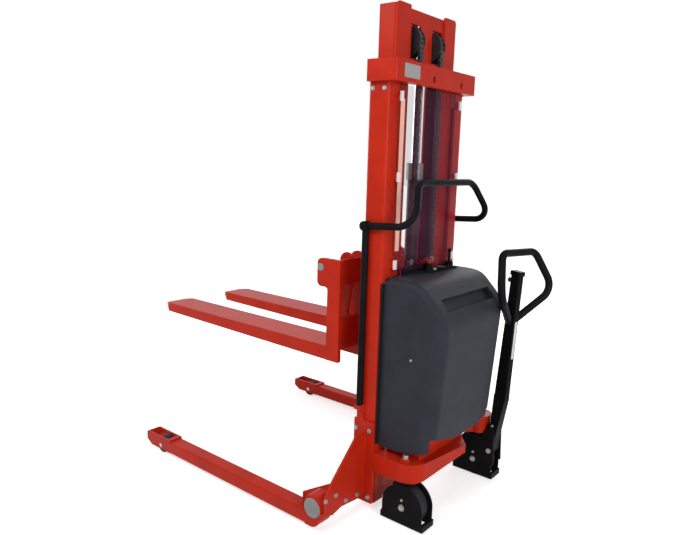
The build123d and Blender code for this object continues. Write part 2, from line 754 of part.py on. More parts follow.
def fork_side_plate():
    outline = face_of([
        (PLATE_REAR, FORK_TOP - FORK_HEEL_DEPTH),
        (PLATE_REAR, PLATE_TOP),
        (NOSE_FRONT, PLATE_TOP),
        (NOSE_FRONT, NOSE_BOTTOM),
        (PLATE_FRONT, NOSE_BOTTOM),
        (PLATE_FRONT, FORK_TOP - FORK_HEEL_DEPTH),
    ])
    plate = plate_yz(outline, FORK_OUTER - PLATE_THICK, FORK_OUTER)
    along_x = plate.edges().filter_by(Axis.X)
    nose = along_x.group_by(Axis.Y)[-1]
    plate = fillet(nose, 24.0)
    throat = plate.edges().filter_by(Axis.X).filter_by_position(Axis.Y, PLATE_FRONT - 1, PLATE_FRONT + 1)
    plate = fillet(throat.sort_by(Axis.Z)[-1], NOSE_THROAT)
    hole = rod_x(FORK_OUTER - PLATE_THICK - 1, FORK_OUTER + 1, SHAFT_Y, SHAFT_Z, SHAFT_RADIUS)
    return plate - hole


def carriage_frame():
    inner = FORK_OUTER - PLATE_THICK
    frame = block(-inner, inner, PLATE_REAR, PLATE_REAR + BAND_THICK, UPPER_BAND_BOTTOM, PLATE_TOP + 2)
    frame += block(-inner, inner, PLATE_REAR, PLATE_REAR + BAND_THICK, LOWER_BAND_BOTTOM, LOWER_BAND_TOP)
    skirt_front = PLATE_REAR + BAND_THICK
    frame += block(
        -FORK_INNER, FORK_INNER, skirt_front, skirt_front + BAND_THICK,
        SKIRT_BOTTOM, LOWER_BAND_BOTTOM + 60,
    )
    rib_y = PLATE_REAR + RIB_TOP_RADIUS
    rib_rear = PLATE_REAR + 1
    rib = face_of([
        (rib_rear, RIB_TOP_Z),
        (rib_y + RIB_TOP_RADIUS, RIB_TOP_Z),
        (rib_y + RIB_TOP_RADIUS, LOWER_BAND_BOTTOM + 10),
        (rib_rear, LOWER_BAND_BOTTOM + 10),
        (rib_rear, LOWER_BAND_TOP),
        (PLATE_REAR + RIB_WAIST, LOWER_BAND_TOP + 8),
        (rib_rear, UPPER_BAND_BOTTOM),
    ])
    arm = face_of([
        (ARM_REAR, ARM_BOTTOM),
        (ARM_REAR, RIB_TOP_Z),
        (rib_y + RIB_TOP_RADIUS, RIB_TOP_Z),
        (rib_y + RIB_TOP_RADIUS, FORK_TOP + ARM_FORK_GAP),
        (PLATE_REAR - GAP, FORK_TOP + ARM_FORK_GAP),
        (PLATE_REAR - GAP, ARM_BOTTOM),
    ])
    for side in (-1, 1):
        x = side * RIB_X
        frame += plate_yz(rib, x - RIB_THICK / 2, x + RIB_THICK / 2)
        frame += rod_x(x - RIB_THICK / 2, x + RIB_THICK / 2, rib_y, RIB_TOP_Z, RIB_TOP_RADIUS)
        x = side * ARM_X
        frame += plate_yz(arm, x - ARM_THICK / 2, x + ARM_THICK / 2)
        frame += rod_x(x - ARM_THICK / 2, x + ARM_THICK / 2, rib_y, RIB_TOP_Z, RIB_TOP_RADIUS)
        pin_end = CARRIAGE_ROLLER_X + CARRIAGE_ROLLER_WIDTH / 2 + 4
        for z in (UPPER_ROLLER_Z, LOWER_ROLLER_Z):
            x0, x1 = sorted((side * ARM_X, side * pin_end))
            frame += rod_x(x0, x1, CARRIAGE_ROLLER_Y, z, ROLLER_PIN_RADIUS)
        x0, x1 = sorted((side * (SHEAVE_X - 15), side * ARM_X))
        anchor_bottom = CARRIAGE_ANCHOR_TOP - 24
        frame += block(x0, x1, FRONT_CHAIN_Y - 12, FRONT_CHAIN_Y + 12, anchor_bottom, CARRIAGE_ANCHOR_TOP)
    return frame


def carriage_roller(z):
    x0 = CARRIAGE_ROLLER_X - CARRIAGE_ROLLER_WIDTH / 2
    x1 = CARRIAGE_ROLLER_X + CARRIAGE_ROLLER_WIDTH / 2
    roller = rod_x(x0, x1, CARRIAGE_ROLLER_Y, z, CARRIAGE_ROLLER_RADIUS)
    roller = chamfer(roller.edges().filter_by(GeomType.CIRCLE), 2.0)
    return roller - rod_x(x0 - 1, x1 + 1, CARRIAGE_ROLLER_Y, z, ROLLER_PIN_RADIUS + RUN_FIT)


def carriage_shaft():
    end = FORK_OUTER + 4
    shaft = rod_x(-end, end, SHAFT_Y, SHAFT_Z, SHAFT_RADIUS)
    return chamfer(shaft.edges().filter_by(GeomType.CIRCLE), 2.0)


# Straddle legs, modelled on the right and mirrored

def straddle_leg():
    beam = block(LEG_INNER, LEG_OUTER, HEEL_REAR + HEEL_FOOT_ROUND, TIP_START, LEG_BOTTOM, LEG_TOP)
    beam = fillet(beam.edges().filter_by(Axis.Y), LEG_EDGE)
    bore = block(
        LEG_INNER + LEG_WALL, LEG_OUTER - LEG_WALL,
        HEEL_FRONT, TIP_START - 20,
        LEG_BOTTOM + LEG_WALL, LEG_TOP - LEG_WALL,
    )
    drain = block(
        LEG_CENTRE - 10, LEG_CENTRE + 10, HEEL_FRONT + 30, TIP_START - 60,
        LEG_BOTTOM - 1, LEG_BOTTOM + LEG_WALL + 1,
    )
    beam = beam - bore - drain
    tip_bottom = LEG_BOTTOM + 3
    tip_side = face_of([
        (TIP_START, tip_bottom),
        (LEG_TIP_Y - TIP_NOSE_RUN, tip_bottom),
        (LEG_TIP_Y, tip_bottom + TIP_NOSE_RISE),
        (LEG_TIP_Y, TIP_TOP - TIP_NOSE_BEVEL),
        (LEG_TIP_Y - TIP_NOSE_BEVEL, TIP_TOP),
        (TIP_START, TIP_TOP),
    ])
    tip = plate_yz(tip_side, LEG_INNER, LEG_OUTER)
    tip = fillet(corner_edges(tip, Axis.Z, y_sign=1), TIP_ROUND)
    reach = LEG_ROLLER_RADIUS + LEG_ROLLER_SLOT
    slot = block(
        LEG_INNER + TIP_CHEEK, LEG_OUTER - TIP_CHEEK,
        LEG_ROLLER_Y - reach, LEG_TIP_Y - TIP_WALL,
        LEG_BOTTOM - 1, TIP_TOP + 1,
    )
    axle_hole = rod_x(LEG_INNER - 1, LEG_OUTER + 1, LEG_ROLLER_Y, LEG_ROLLER_RADIUS, LEG_AXLE_RADIUS)
    tip = tip - slot - axle_hole
    heel = block(LEG_INNER, LEG_OUTER, HEEL_REAR, HEEL_FRONT, LEG_BOTTOM, HEEL_TOP)
    heel = fillet(heel.edges().filter_by(Axis.X).group_by(Axis.Z)[-1], HEEL_ROUND)
    heel = fillet(heel.edges().filter_by(Axis.X).group_by(Axis.Z)[0].sort_by(Axis.Y)[0], HEEL_FOOT_ROUND)
    return beam + tip + heel + leg_arm()


def leg_arm():
    end = LEG_INNER + ARM_LAP
    slant = LEG_INNER - ARM_SLANT
    rear_view = face_of([
        (BRACKET_OUTER, ARM_BOX_BOTTOM),
        (end, ARM_BOX_BOTTOM),
        (end, ARM_TOE_TOP),
        (slant, ARM_BOX_TOP),
        (BRACKET_OUTER, ARM_BOX_TOP),
    ])
    plan = face_of([
        (BRACKET_OUTER, HEEL_REAR),
        (end, HEEL_REAR),
        (end, ARM_TOE_FRONT),
        (slant, ARM_BOX_FRONT),
        (BRACKET_OUTER, ARM_BOX_FRONT),
    ])
    return plate_xz(rear_view, HEEL_REAR, ARM_TOE_FRONT) & plate_xy(plan, ARM_BOX_BOTTOM - 1, ARM_BOX_TOP + 1)


def leg_end_cap():
    cap = rod_x(LEG_OUTER, LEG_OUTER + CAP_THICK, CAP_Y, CAP_Z, CAP_RADIUS)
    rim = cap.edges().filter_by(GeomType.CIRCLE).group_by(Axis.X)[-1]
    return chamfer(rim, 1.5)


def leg_roller():
    x0 = LEG_INNER + TIP_CHEEK + LEG_ROLLER_SIDE
    x1 = LEG_OUTER - TIP_CHEEK - LEG_ROLLER_SIDE
    roller = rod_x(x0, x1, LEG_ROLLER_Y, LEG_ROLLER_RADIUS, LEG_ROLLER_RADIUS)
    roller = fillet(roller.edges().filter_by(GeomType.CIRCLE), 4.0)
    return roller - rod_x(x0 - 1, x1 + 1, LEG_ROLLER_Y, LEG_ROLLER_RADIUS, LEG_AXLE_RADIUS + RUN_FIT)


def leg_roller_axle():
    return rod_x(LEG_INNER, LEG_OUTER, LEG_ROLLER_Y, LEG_ROLLER_RADIUS, LEG_AXLE_RADIUS)


def straddle_bracket():
    side = block(MAST_HALF, BRACKET_OUTER, 0, BRACKET_FRONT, BRACKET_BOTTOM, BRACKET_TOP)
    foot = LEG_OUTER - GUSSET_FOOT_INSET
    tip = LEG_OUTER - GUSSET_TIP_INSET
    gusset = face_of([
        (BRACKET_OUTER - 1, GUSSET_BOTTOM),
        (BRACKET_OUTER - 1, GUSSET_TOP),
        (BRACKET_OUTER + GUSSET_TOP_REACH, GUSSET_TOP),
        (foot, GUSSET_FOOT_Z),
        (tip, HEEL_TOP - 14),
        (tip, HEEL_TOP - 70),
        (foot, GUSSET_BOTTOM),
        (foot - GUSSET_ARCH_INSET, GUSSET_ARCH_Z),
    ])
    gusset_plate = plate_xz(gusset, HEEL_REAR - BRACKET_THICK, HEEL_REAR)
    strip = block(
        MAST_HALF, BRACKET_OUTER, HANDLE_POST_Y - 16, HANDLE_POST_Y + 16, BRACKET_TOP - 1, HANDLE_POST_FOOT,
    )
    seat = block(
        MAST_HALF, HANDLE_X + HANDLE_RADIUS + 2, HANDLE_POST_Y - 16, HANDLE_POST_Y + 16,
        HANDLE_POST_FOOT - 18, HANDLE_POST_FOOT,
    )
    return side + gusset_plate + strip + seat


# Push handle

def push_handle():
    points = [
        (-HANDLE_X, HANDLE_POST_Y, HANDLE_RAIL_Z),
        (-HANDLE_REAR_HALF, HANDLE_REAR_Y, HANDLE_REAR_Z),
        (-HANDLE_TOP_HALF, HANDLE_TOP_Y, HANDLE_TOP_Z),
        (HANDLE_TOP_HALF, HANDLE_TOP_Y, HANDLE_TOP_Z),
        (HANDLE_REAR_HALF, HANDLE_REAR_Y, HANDLE_REAR_Z),
        (HANDLE_X, HANDLE_POST_Y, HANDLE_RAIL_Z),
    ]
    path = FilletPolyline(*points, radius=HANDLE_BEND)
    arch = sweep(Plane(path @ 0, z_dir=path % 0) * Circle(HANDLE_RADIUS), path)
    for x in (-HANDLE_X, HANDLE_X):
        arch += rod_z(HANDLE_POST_FOOT, HANDLE_RAIL_Z, x, HANDLE_POST_Y, HANDLE_RADIUS)
        outer = abs(x) + HANDLE_RADIUS + KNUCKLE_CAP
        x0, x1 = sorted((MAST_HALF * x / abs(x), outer * x / abs(x)))
        knuckle = rod_x(x0, x1, HANDLE_POST_Y, HANDLE_RAIL_Z, KNUCKLE_RADIUS)
        arch += fillet(knuckle.edges().filter_by(GeomType.CIRCLE), 4.0)
    return arch


# Safety screen and its clips

def safety_screen():
    top = BEAM_TOP - BEAM_HEIGHT - SCREEN_TOP_GAP
    return block(-SCREEN_HALF, SCREEN_HALF, SCREEN_Y, SCREEN_Y + SCREEN_THICK, SCREEN_BOTTOM, top)


def screen_clips():
    clips = []
    groove_edge = SCREEN_HALF + GAP
    for z in CLIP_HEIGHTS:
        clip = block(
            CLIP_X - CLIP_WIDTH / 2, CLIP_X + CLIP_WIDTH / 2, -CLIP_STANDOFF - CLIP_DEPTH, -CLIP_STANDOFF,
            z - CLIP_HEIGHT / 2, z + CLIP_HEIGHT / 2,
        )
        clip -= block(
            CLIP_X - CLIP_WIDTH, groove_edge, SCREEN_Y, SCREEN_Y + SCREEN_THICK,
            z - CLIP_HEIGHT, z + CLIP_HEIGHT,
        )
        clips.append(clip)
    return both_sides(clips)


# Base pan and steering arm

def pan_outline(inset):
    rear = [(PAN_REAR_END, PAN_REAR_RIGHT), (-PAN_HALF, PAN_REAR_LEFT)]
    points = [
        (-PAN_HALF + inset, 0),
        (-PAN_HALF + inset, rear[1][1] + inset),
        (rear[0][0] - inset / 2, rear[0][1] + inset),
        (PAN_RIGHT - inset, PAN_NOTCH_Y),
        (PAN_RIGHT - inset, 0),
    ]
    outline = face_of(points)
    corner = outline.vertices().sort_by(Axis.X)[:2].sort_by(Axis.Y)[0]
    return fillet(corner, PAN_CORNER - inset)


def plinth(inset, bottom, top):
    spread = PLINTH_EDGE - inset
    left = BATTERY_X[0] - BATTERY_WIDTH / 2
    return block(left - spread, TANK_RIGHT + spread, BATTERY_REAR - spread, BATTERY_FRONT + spread, bottom, top)


def base_pan():
    pan = plate_xy(pan_outline(0), PAN_BOTTOM, PAN_TOP)
    pan -= plate_xy(pan_outline(PAN_PLATE), PAN_BOTTOM - 1, PAN_TOP - PAN_PLATE)
    rise = face_of([
        (-PAN_HALF + FLANGE_START, PAN_BOTTOM),
        (PAN_REAR_END, PAN_BOTTOM + FLANGE_RISE),
        (PAN_RIGHT + 10, PAN_BOTTOM + FLANGE_RISE),
        (PAN_RIGHT + 10, PAN_BOTTOM - 10),
        (-PAN_HALF + FLANGE_START, PAN_BOTTOM - 10),
    ])
    pan -= plate_xz(rise, PAN_REAR_RIGHT - 10, 1)
    pan += rod_z(PAN_BOTTOM, PAN_TOP - 1, CASTOR_X, CASTOR_SWIVEL_Y, KINGPIN_BOSS)
    pan += plinth(0, PAN_TOP - 1, PLINTH_TOP)
    pan -= plinth(PAN_PLATE, PAN_TOP - PAN_PLATE - 1, PLINTH_TOP - PAN_PLATE)
    return pan - rod_z(PAN_BOTTOM - 1, PAN_TOP + 1, CASTOR_X, CASTOR_SWIVEL_Y, KINGPIN_RADIUS + RUN_FIT)


def steering_arm():
    outline = face_of([
        (PAN_RIGHT, 0),
        (MAST_HALF, 0),
        (STEER_X + STEER_HEAD_RADIUS, STEER_Y),
        (STEER_X - STEER_HEAD_RADIUS, STEER_Y),
        (PAN_RIGHT, PAN_NOTCH_Y),
    ])
    arm = plate_xy(outline, STEER_HEAD_BOTTOM, STEER_HEAD_TOP)
    arm += rod_z(STEER_HEAD_BOTTOM, STEER_HEAD_TOP, STEER_X, STEER_Y, STEER_HEAD_RADIUS)
    bore = rod_z(STEER_HEAD_BOTTOM - 1, STEER_HEAD_TOP + 1, STEER_X, STEER_Y, STEER_PIN_RADIUS + RUN_FIT)
    return arm - bore


# Wheels

def wheel(x, y):
    half = WHEEL_WIDTH / 2
    rim = rod_x(x - half, x + half, y, WHEEL_RADIUS, WHEEL_RADIUS)
    rim = fillet(rim.edges().filter_by(GeomType.CIRCLE), 6.0)
    for side in (-1, 1):
        x0, x1 = sorted((x + side * (half - 9), x + side * (half + 1)))
        dish = rod_x(x0, x1, y, WHEEL_RADIUS, WHEEL_RADIUS - 24)
        dish -= rod_x(x0 - 1, x1 + 1, y, WHEEL_RADIUS, HUB_RADIUS)
        rim -= dish
    hub = half + HUB_SIDE
    rim += rod_x(x - hub, x + hub, y, WHEEL_RADIUS, HUB_RADIUS)
    return rim - rod_x(x - hub - 1, x + hub + 1, y, WHEEL_RADIUS, AXLE_RADIUS + RUN_FIT)


def axle(x, y):
    end = GUARD_HALF + 2
    pin = rod_x(x - end, x + end, y, WHEEL_RADIUS, AXLE_RADIUS)
    for side in (-1, 1):
        x0, x1 = sorted((x + side * GUARD_HALF, x + side * (GUARD_HALF + 7)))
        pin += rod_x(x0, x1, y, WHEEL_RADIUS, AXLE_RADIUS + 3)
    return pin


def guard_plate_face(y):
    lower = block(0, 1, y - GUARD_RADIUS, y + GUARD_RADIUS, GUARD_BOTTOM, WHEEL_RADIUS)
    dome = rod_x(0, 1, y, WHEEL_RADIUS, GUARD_RADIUS)
    wide = GUARD_RADIUS + 10
    dome -= block(-1, 2, y - wide, y + wide, -wide, WHEEL_RADIUS)
    toe_reach = GUARD_RADIUS + TOE_REACH
    toe = block(0, 1, y - toe_reach, y + toe_reach, GUARD_BOTTOM, GUARD_BOTTOM + TOE_HEIGHT)
    return lower + dome + toe


def guard_sides(x, y):
    profile = guard_plate_face(y)
    outline = profile.faces().sort_by(Axis.X)[-1]
    sides = []
    for side in (-1, 1):
        x0 = x + side * GUARD_HALF - (GUARD_PLATE if side > 0 else 0)
        sides.append(extrude(Pos(x0 - 1, 0, 0) * outline, GUARD_PLATE, dir=(1, 0, 0)))
    return sides


def toe_bars(x, y):
    bars = []
    for side in (-1, 1):
        far = y + side * (GUARD_RADIUS + TOE_REACH)
        near = y + side * (WHEEL_RADIUS + 8)
        y0, y1 = sorted((near, far))
        bars.append(block(x - GUARD_HALF, x + GUARD_HALF, y0, y1, GUARD_BOTTOM, GUARD_BOTTOM + TOE_HEIGHT))
    return bars


def castor_fork():
    fork_part = Part()
    for piece in guard_sides(CASTOR_X, CASTOR_AXLE_Y) + toe_bars(CASTOR_X, CASTOR_AXLE_Y):
        fork_part += piece
    bridge = block(
        CASTOR_X - GUARD_HALF, CASTOR_X + GUARD_HALF,
        CASTOR_SWIVEL_Y - 40, CASTOR_SWIVEL_Y + 30,
        CASTOR_BRIDGE - 2, WHEEL_RADIUS + GUARD_RADIUS,
    )
    fork_part += bridge
    boss_top = PAN_BOTTOM - GAP
    fork_part += rod_z(CASTOR_BRIDGE, boss_top, CASTOR_X, CASTOR_SWIVEL_Y, KINGPIN_BOSS)
    nut_bottom = PAN_TOP + GAP
    nut_top = nut_bottom + KINGPIN_NUT_HEIGHT
    fork_part += rod_z(CASTOR_BRIDGE, nut_top + KINGPIN_END, CASTOR_X, CASTOR_SWIVEL_Y, KINGPIN_RADIUS)
    nut = extrude(RegularPolygon(KINGPIN_NUT, 6), KINGPIN_NUT_HEIGHT)
    fork_part += Pos(CASTOR_X, CASTOR_SWIVEL_Y, nut_bottom) * nut
    hole = rod_x(CASTOR_X - 60, CASTOR_X + 60, CASTOR_AXLE_Y, WHEEL_RADIUS, AXLE_RADIUS)
    return fork_part - hole


def steer_yoke():
    rear_face = PIVOT_Y - TILLER_BOSS - 8
    upper = face_of([
        (STEER_Y + GUARD_RADIUS, WHEEL_RADIUS),
        (STEER_Y + GUARD_RADIUS - 10, WHEEL_RADIUS + 70),
        (STEER_Y + 50, STEER_BRIDGE + 10),
        (STEER_Y - 40, STEER_BRIDGE + 14),
        (STEER_Y - 72, STEER_REAR_TOP - 22),
        (STEER_Y - 82, STEER_REAR_TOP),
        (rear_face + 8, STEER_REAR_TOP),
        (rear_face, WHEEL_RADIUS),
    ])
    yoke = Part()
    for piece in guard_sides(STEER_X, STEER_Y) + toe_bars(STEER_X, STEER_Y):
        yoke += piece
    for x0 in (STEER_X - GUARD_HALF, STEER_X + GUARD_HALF - GUARD_PLATE):
        yoke += plate_yz(upper, x0, x0 + GUARD_PLATE)
    yoke += block(
        STEER_X - GUARD_HALF, STEER_X + GUARD_HALF, STEER_Y - 52, STEER_Y + 52,
        STEER_BRIDGE - 8, STEER_BRIDGE + 8,
    )
    yoke += rod_z(STEER_BRIDGE, STEER_HEAD_BOTTOM - GAP, STEER_X, STEER_Y, STEER_HEAD_RADIUS - 18)
    nut_bottom = STEER_HEAD_TOP + GAP
    yoke += rod_z(STEER_BRIDGE, nut_bottom + STEER_NUT_HEIGHT, STEER_X, STEER_Y, STEER_PIN_RADIUS)
    yoke += rod_z(nut_bottom, nut_bottom + STEER_NUT_HEIGHT, STEER_X, STEER_Y, STEER_NUT_RADIUS)
    axle_hole = rod_x(STEER_X - 60, STEER_X + 60, STEER_Y, WHEEL_RADIUS, AXLE_RADIUS)
    pivot_hole = rod_x(STEER_X - 60, STEER_X + 60, PIVOT_Y, PIVOT_Z, PIVOT_RADIUS)
    return yoke - axle_hole - pivot_hole


def tiller_pivot():
    end = GUARD_HALF + 2
    pin = rod_x(STEER_X - end, STEER_X + end, PIVOT_Y, PIVOT_Z, PIVOT_RADIUS)
    for side in (-1, 1):
        x0, x1 = sorted((STEER_X + side * GUARD_HALF, STEER_X + side * (GUARD_HALF + 6)))
        pin += rod_x(x0, x1, PIVOT_Y, PIVOT_Z, PIVOT_RADIUS + 4)
    return pin


# Tiller, built about its pivot with its length along Z

def tiller_tube():
    half = GUARD_HALF - GUARD_PLATE - 1.0
    boss = rod_x(-half, half, 0, 0, TILLER_BOSS)
    foot = block(
        -TILLER_FOOT_WIDTH / 2, TILLER_FOOT_WIDTH / 2,
        -TILLER_FOOT_DEPTH / 2, TILLER_FOOT_DEPTH / 2, 0, TILLER_NECK,
    )
    turn = Rot(0, 0, -TILLER_YAW)
    lower = Pos(0, 0, TILLER_NECK) * Rectangle(TILLER_FOOT_WIDTH, TILLER_FOOT_DEPTH)
    flared = Pos(0, 0, TILLER_TAPER_TOP) * turn * Pos(0, -TILLER_FLARE / 2, 0)
    flared_depth = TILLER_TUBE_DEPTH + TILLER_FLARE
    taper = loft([lower, flared * Rectangle(TILLER_TUBE_WIDTH, flared_depth)], ruled=True)
    tube_top = Pos(0, 0, TILLER_TUBE_TOP) * turn
    tube = loft([
        flared * RectangleRounded(TILLER_TUBE_WIDTH, flared_depth, 5.0),
        tube_top * RectangleRounded(TILLER_TUBE_WIDTH, TILLER_TUBE_DEPTH, 5.0),
    ], ruled=True)
    cap_width = TILLER_TUBE_WIDTH + 2 * TILLER_CAP_BROW
    cap_depth = TILLER_TUBE_DEPTH + 2 * TILLER_CAP_BROW
    cap = tube_top * extrude(
        RectangleRounded(cap_width, cap_depth, 8.0), TILLER_CAP_HEIGHT,
    )
    cap = fillet(cap.edges().group_by(Axis.Z)[-1], 6.0)
    tiller = boss + foot + taper + tube + cap
    tiller -= rod_x(-half - 1, half + 1, 0, 0, PIVOT_RADIUS + RUN_FIT)
    front = TILLER_TUBE_DEPTH / 2
    hollow = block(
        -TILLER_TUBE_WIDTH / 2 + TILLER_WALL, TILLER_TUBE_WIDTH / 2 - TILLER_WALL,
        -front + TILLER_WALL, front - TILLER_WALL,
        TILLER_TAPER_TOP, BUTTON_Z - BUTTON_RADIUS - 8,
    )
    slot = block(
        -CABLE_SLOT / 2, CABLE_SLOT / 2, 0, front + 1,
        TILLER_TAPER_TOP + 40, TILLER_TAPER_TOP + 40 + 3 * CABLE_SLOT,
    )
    tiller -= turn * (hollow + slot)
    socket = rod_y(front - BUTTON_SOCKET, front + 1, 0, BUTTON_Z, BUTTON_STEM + RUN_FIT)
    return TILLER_PLACE * (tiller - turn * socket)


def tiller_loop():
    start = TILLER_TUBE_WIDTH / 2
    points = [
        (-start, 0, LOOP_FOOT),
        (-LOOP_WIDE_HALF, -LOOP_WIDE_BACK, LOOP_WIDE),
        (-LOOP_TOP_HALF, -LOOP_TOP_BACK, LOOP_TOP),
        (LOOP_TOP_HALF, -LOOP_TOP_BACK, LOOP_TOP),
        (LOOP_WIDE_HALF, -LOOP_WIDE_BACK, LOOP_WIDE),
        (start, 0, LOOP_FOOT),
    ]
    path = bent_path(points, [LOOP_WIDE_BEND, LOOP_TOP_BEND, LOOP_TOP_BEND, LOOP_WIDE_BEND])
    loop = sweep(Plane(path @ 0, z_dir=path % 0) * Circle(LOOP_RADIUS), path)
    column = block(
        -TILLER_TUBE_WIDTH / 2, TILLER_TUBE_WIDTH / 2,
        -TILLER_TUBE_DEPTH / 2, TILLER_TUBE_DEPTH / 2, LOOP_FOOT - 100, LOOP_FOOT + 100,
    )
    return TILLER_TURN * (loop - column)


def tiller_button():
    front = TILLER_TUBE_DEPTH / 2
    cap_rear = front + BUTTON_TRAVEL + GAP
    cap = rod_y(cap_rear, cap_rear + BUTTON_PROUD, 0, BUTTON_Z, BUTTON_RADIUS)
    stem_end = front - BUTTON_SOCKET + BUTTON_TRAVEL + 1
    stem = rod_y(stem_end, front + BUTTON_TRAVEL + 1, 0, BUTTON_Z, BUTTON_STEM)
    return TILLER_TURN * (cap + stem)


# Rear cover

def cover_block(inset):
    half = COVER_HALF - inset
    slab = plate_yz(hood_profile(inset), -half, half)
    slab = fillet([edge for edge in slab.edges() if is_hood_edge(edge, half)], COVER_HOOD_ROUND - inset)
    low = COVER_BOTTOM - inset
    high = COVER_TOP + COVER_WALL
    below = Pos(0, 0, low) * cover_plan(cover_rear(low) + inset, half, COVER_CORNER - inset)
    over = Pos(0, 0, high) * cover_plan(cover_rear(high) + inset, half, COVER_CORNER - inset)
    return loft([below, over], ruled=True) & slab


def cover_rear(z):
    slope = (COVER_BACK_Y - COVER_FOOT_Y) / (COVER_BACK_Z - COVER_BOTTOM)
    return COVER_FOOT_Y + slope * (z - COVER_BOTTOM)


def cover_foot_line(inset):
    if inset:
        low = COVER_BOTTOM - inset
        return [(COVER_FRONT, low), (cover_rear(low) + inset, low)]
    foot_z = COVER_BOTTOM + COVER_FOOT_RISE
    return [(COVER_FRONT, COVER_BOTTOM), (COVER_FOOT_TURN, COVER_BOTTOM), (cover_rear(foot_z), foot_z)]


def hood_profile(inset):
    lower = cover_foot_line(inset)
    foot = lower[-1]
    back = (COVER_BACK_Y + inset, COVER_BACK_Z)
    brow = (COVER_BROW_Y + 0.86 * inset, COVER_BROW_Z - 0.5 * inset)
    shoulder = (COVER_SHOULDER_Y + 0.6 * inset, COVER_SHOULDER_Z - 0.8 * inset)
    flat = (COVER_FLAT, COVER_TOP - inset)
    front_top = (COVER_FRONT, COVER_TOP - inset)
    up = (back[0] - foot[0], back[1] - foot[1])
    hood = Spline(back, brow, shoulder, flat, tangents=[up, (1, 0)])
    front = [Line(flat, front_top), Line(front_top, lower[0])]
    under = [Line(a, b) for a, b in zip(lower, lower[1:])]
    return make_face([Line(foot, back), hood] + front + under)


def cover_plan(rear, half, corner):
    outline = face_of([(-half, COVER_FRONT), (-half, rear), (half, rear), (half, COVER_FRONT)])
    return fillet(outline.vertices().group_by(Axis.Y)[0], corner)


def is_hood_edge(edge, half):
    middle = edge @ 0.5
    at_side = abs(abs(middle.X) - half) < 0.01
    return at_side and middle.Y < COVER_FRONT - 1 and middle.Z > COVER_BOTTOM + COVER_FOOT_RISE


def grip_pocket(grow):
    half = GRIP_HALF + grow
    height = GRIP_HEIGHT + 2 * grow
    depth = GRIP_DEPTH + grow
    tool = Box(2 * half, 2 * depth, height)
    return Pos(0, GRIP_Y, GRIP_Z) * Rot(-GRIP_TILT, 0, 0) * tool


def cover_foot_cut():
    left = -COVER_HALF + COVER_TAB
    low = COVER_BOTTOM + COVER_REAR_LIFT
    high = COVER_BOTTOM + COVER_CORNER_LIFT
    outline = face_of([
        (left, COVER_BOTTOM - 1),
        (left, high),
        (left * 0.3, low + 4),
        (0, low),
        (-left / 2, low),
        (COVER_HALF + 1, high),
        (COVER_HALF + 1, COVER_BOTTOM - 1),
    ])
    return plate_xz(outline, COVER_BACK_Y - 1, COVER_FOOT_Y + COVER_CORNER)


def rear_cover():
    outer = cover_block(0) - grip_pocket(0)
    inner = cover_block(COVER_WALL) - grip_pocket(COVER_WALL)
    shell = outer - inner
    open_front = block(
        -COVER_HALF + COVER_WALL, COVER_HALF - COVER_WALL, COVER_FRONT - 12, COVER_FRONT + 1,
        COVER_BOTTOM - 1, COVER_TOP - COVER_WALL,
    )
    shell -= open_front
    right_step = block(
        COVER_HALF - COVER_CORNER, COVER_HALF + 1, COVER_BACK_Y - 1, 1,
        COVER_BOTTOM - 1, COVER_BOTTOM + COVER_CORNER_LIFT,
    )
    chain_room = block(
        -SHEAVE_X - 2 * LUG_HALF, SHEAVE_X + 2 * LUG_HALF, REAR_CHAIN_Y - CHAIN_THICK - 1, 1,
        COVER_TOP - 2 * COVER_WALL, COVER_TOP + 1,
    )
    return shell - cover_foot_cut() - right_step - chain_room


# Drive and power inside the cover

def batteries():
    cells = []
    half = BATTERY_WIDTH / 2
    top = PLINTH_TOP + BATTERY_HEIGHT
    for x in BATTERY_X:
        cells.append(block(x - half, x + half, BATTERY_REAR, BATTERY_FRONT, PLINTH_TOP, top))
    return cells


def charger_box():
    left = BATTERY_X[0] - BATTERY_WIDTH / 2 + CHARGER_INSET
    right = BATTERY_X[1] + BATTERY_WIDTH / 2 - CHARGER_INSET
    bottom = PLINTH_TOP + BATTERY_HEIGHT
    rear = BATTERY_REAR + CHARGER_INSET
    front = BATTERY_FRONT - CHARGER_INSET
    return block(left, right, rear, front, bottom, bottom + CHARGER_HEIGHT)


def oil_tank():
    tank = block(TANK_LEFT, TANK_RIGHT, TANK_REAR, TANK_FRONT, PLINTH_TOP, PLINTH_TOP + TANK_HEIGHT)
    return fillet(tank.edges().filter_by(Axis.Z), 10.0)


def pump_motor():
    bottom = PLINTH_TOP + TANK_HEIGHT
    pump_block = block(
        TANK_LEFT + BLOCK_INSET, TANK_RIGHT - BLOCK_INSET,
        TANK_REAR + BLOCK_INSET, TANK_FRONT - BLOCK_INSET,
        bottom, bottom + BLOCK_HEIGHT,
    )
    x = (TANK_LEFT + TANK_RIGHT) / 2
    y = (TANK_REAR + TANK_FRONT) / 2
    top = bottom + BLOCK_HEIGHT
    return pump_block + rod_z(top - 1, top + MOTOR_HEIGHT, x, y, MOTOR_RADIUS)


def pressure_hose():
    z = PLINTH_TOP + TANK_HEIGHT + BLOCK_HEIGHT / 2
    points = [
        (HOSE_X, TANK_FRONT - BLOCK_INSET, z),
        (HOSE_X, CYLINDER_Y, z),
        (HOSE_X, CYLINDER_Y, PORT_Z),
        (CYLINDER_RADIUS + PORT_REACH, CYLINDER_Y, PORT_Z),
    ]
    path = FilletPolyline(*points, radius=HOSE_BEND)
    return sweep(Plane(path @ 0, z_dir=path % 0) * Circle(HOSE_RADIUS), path)


# Controls on top of the cover

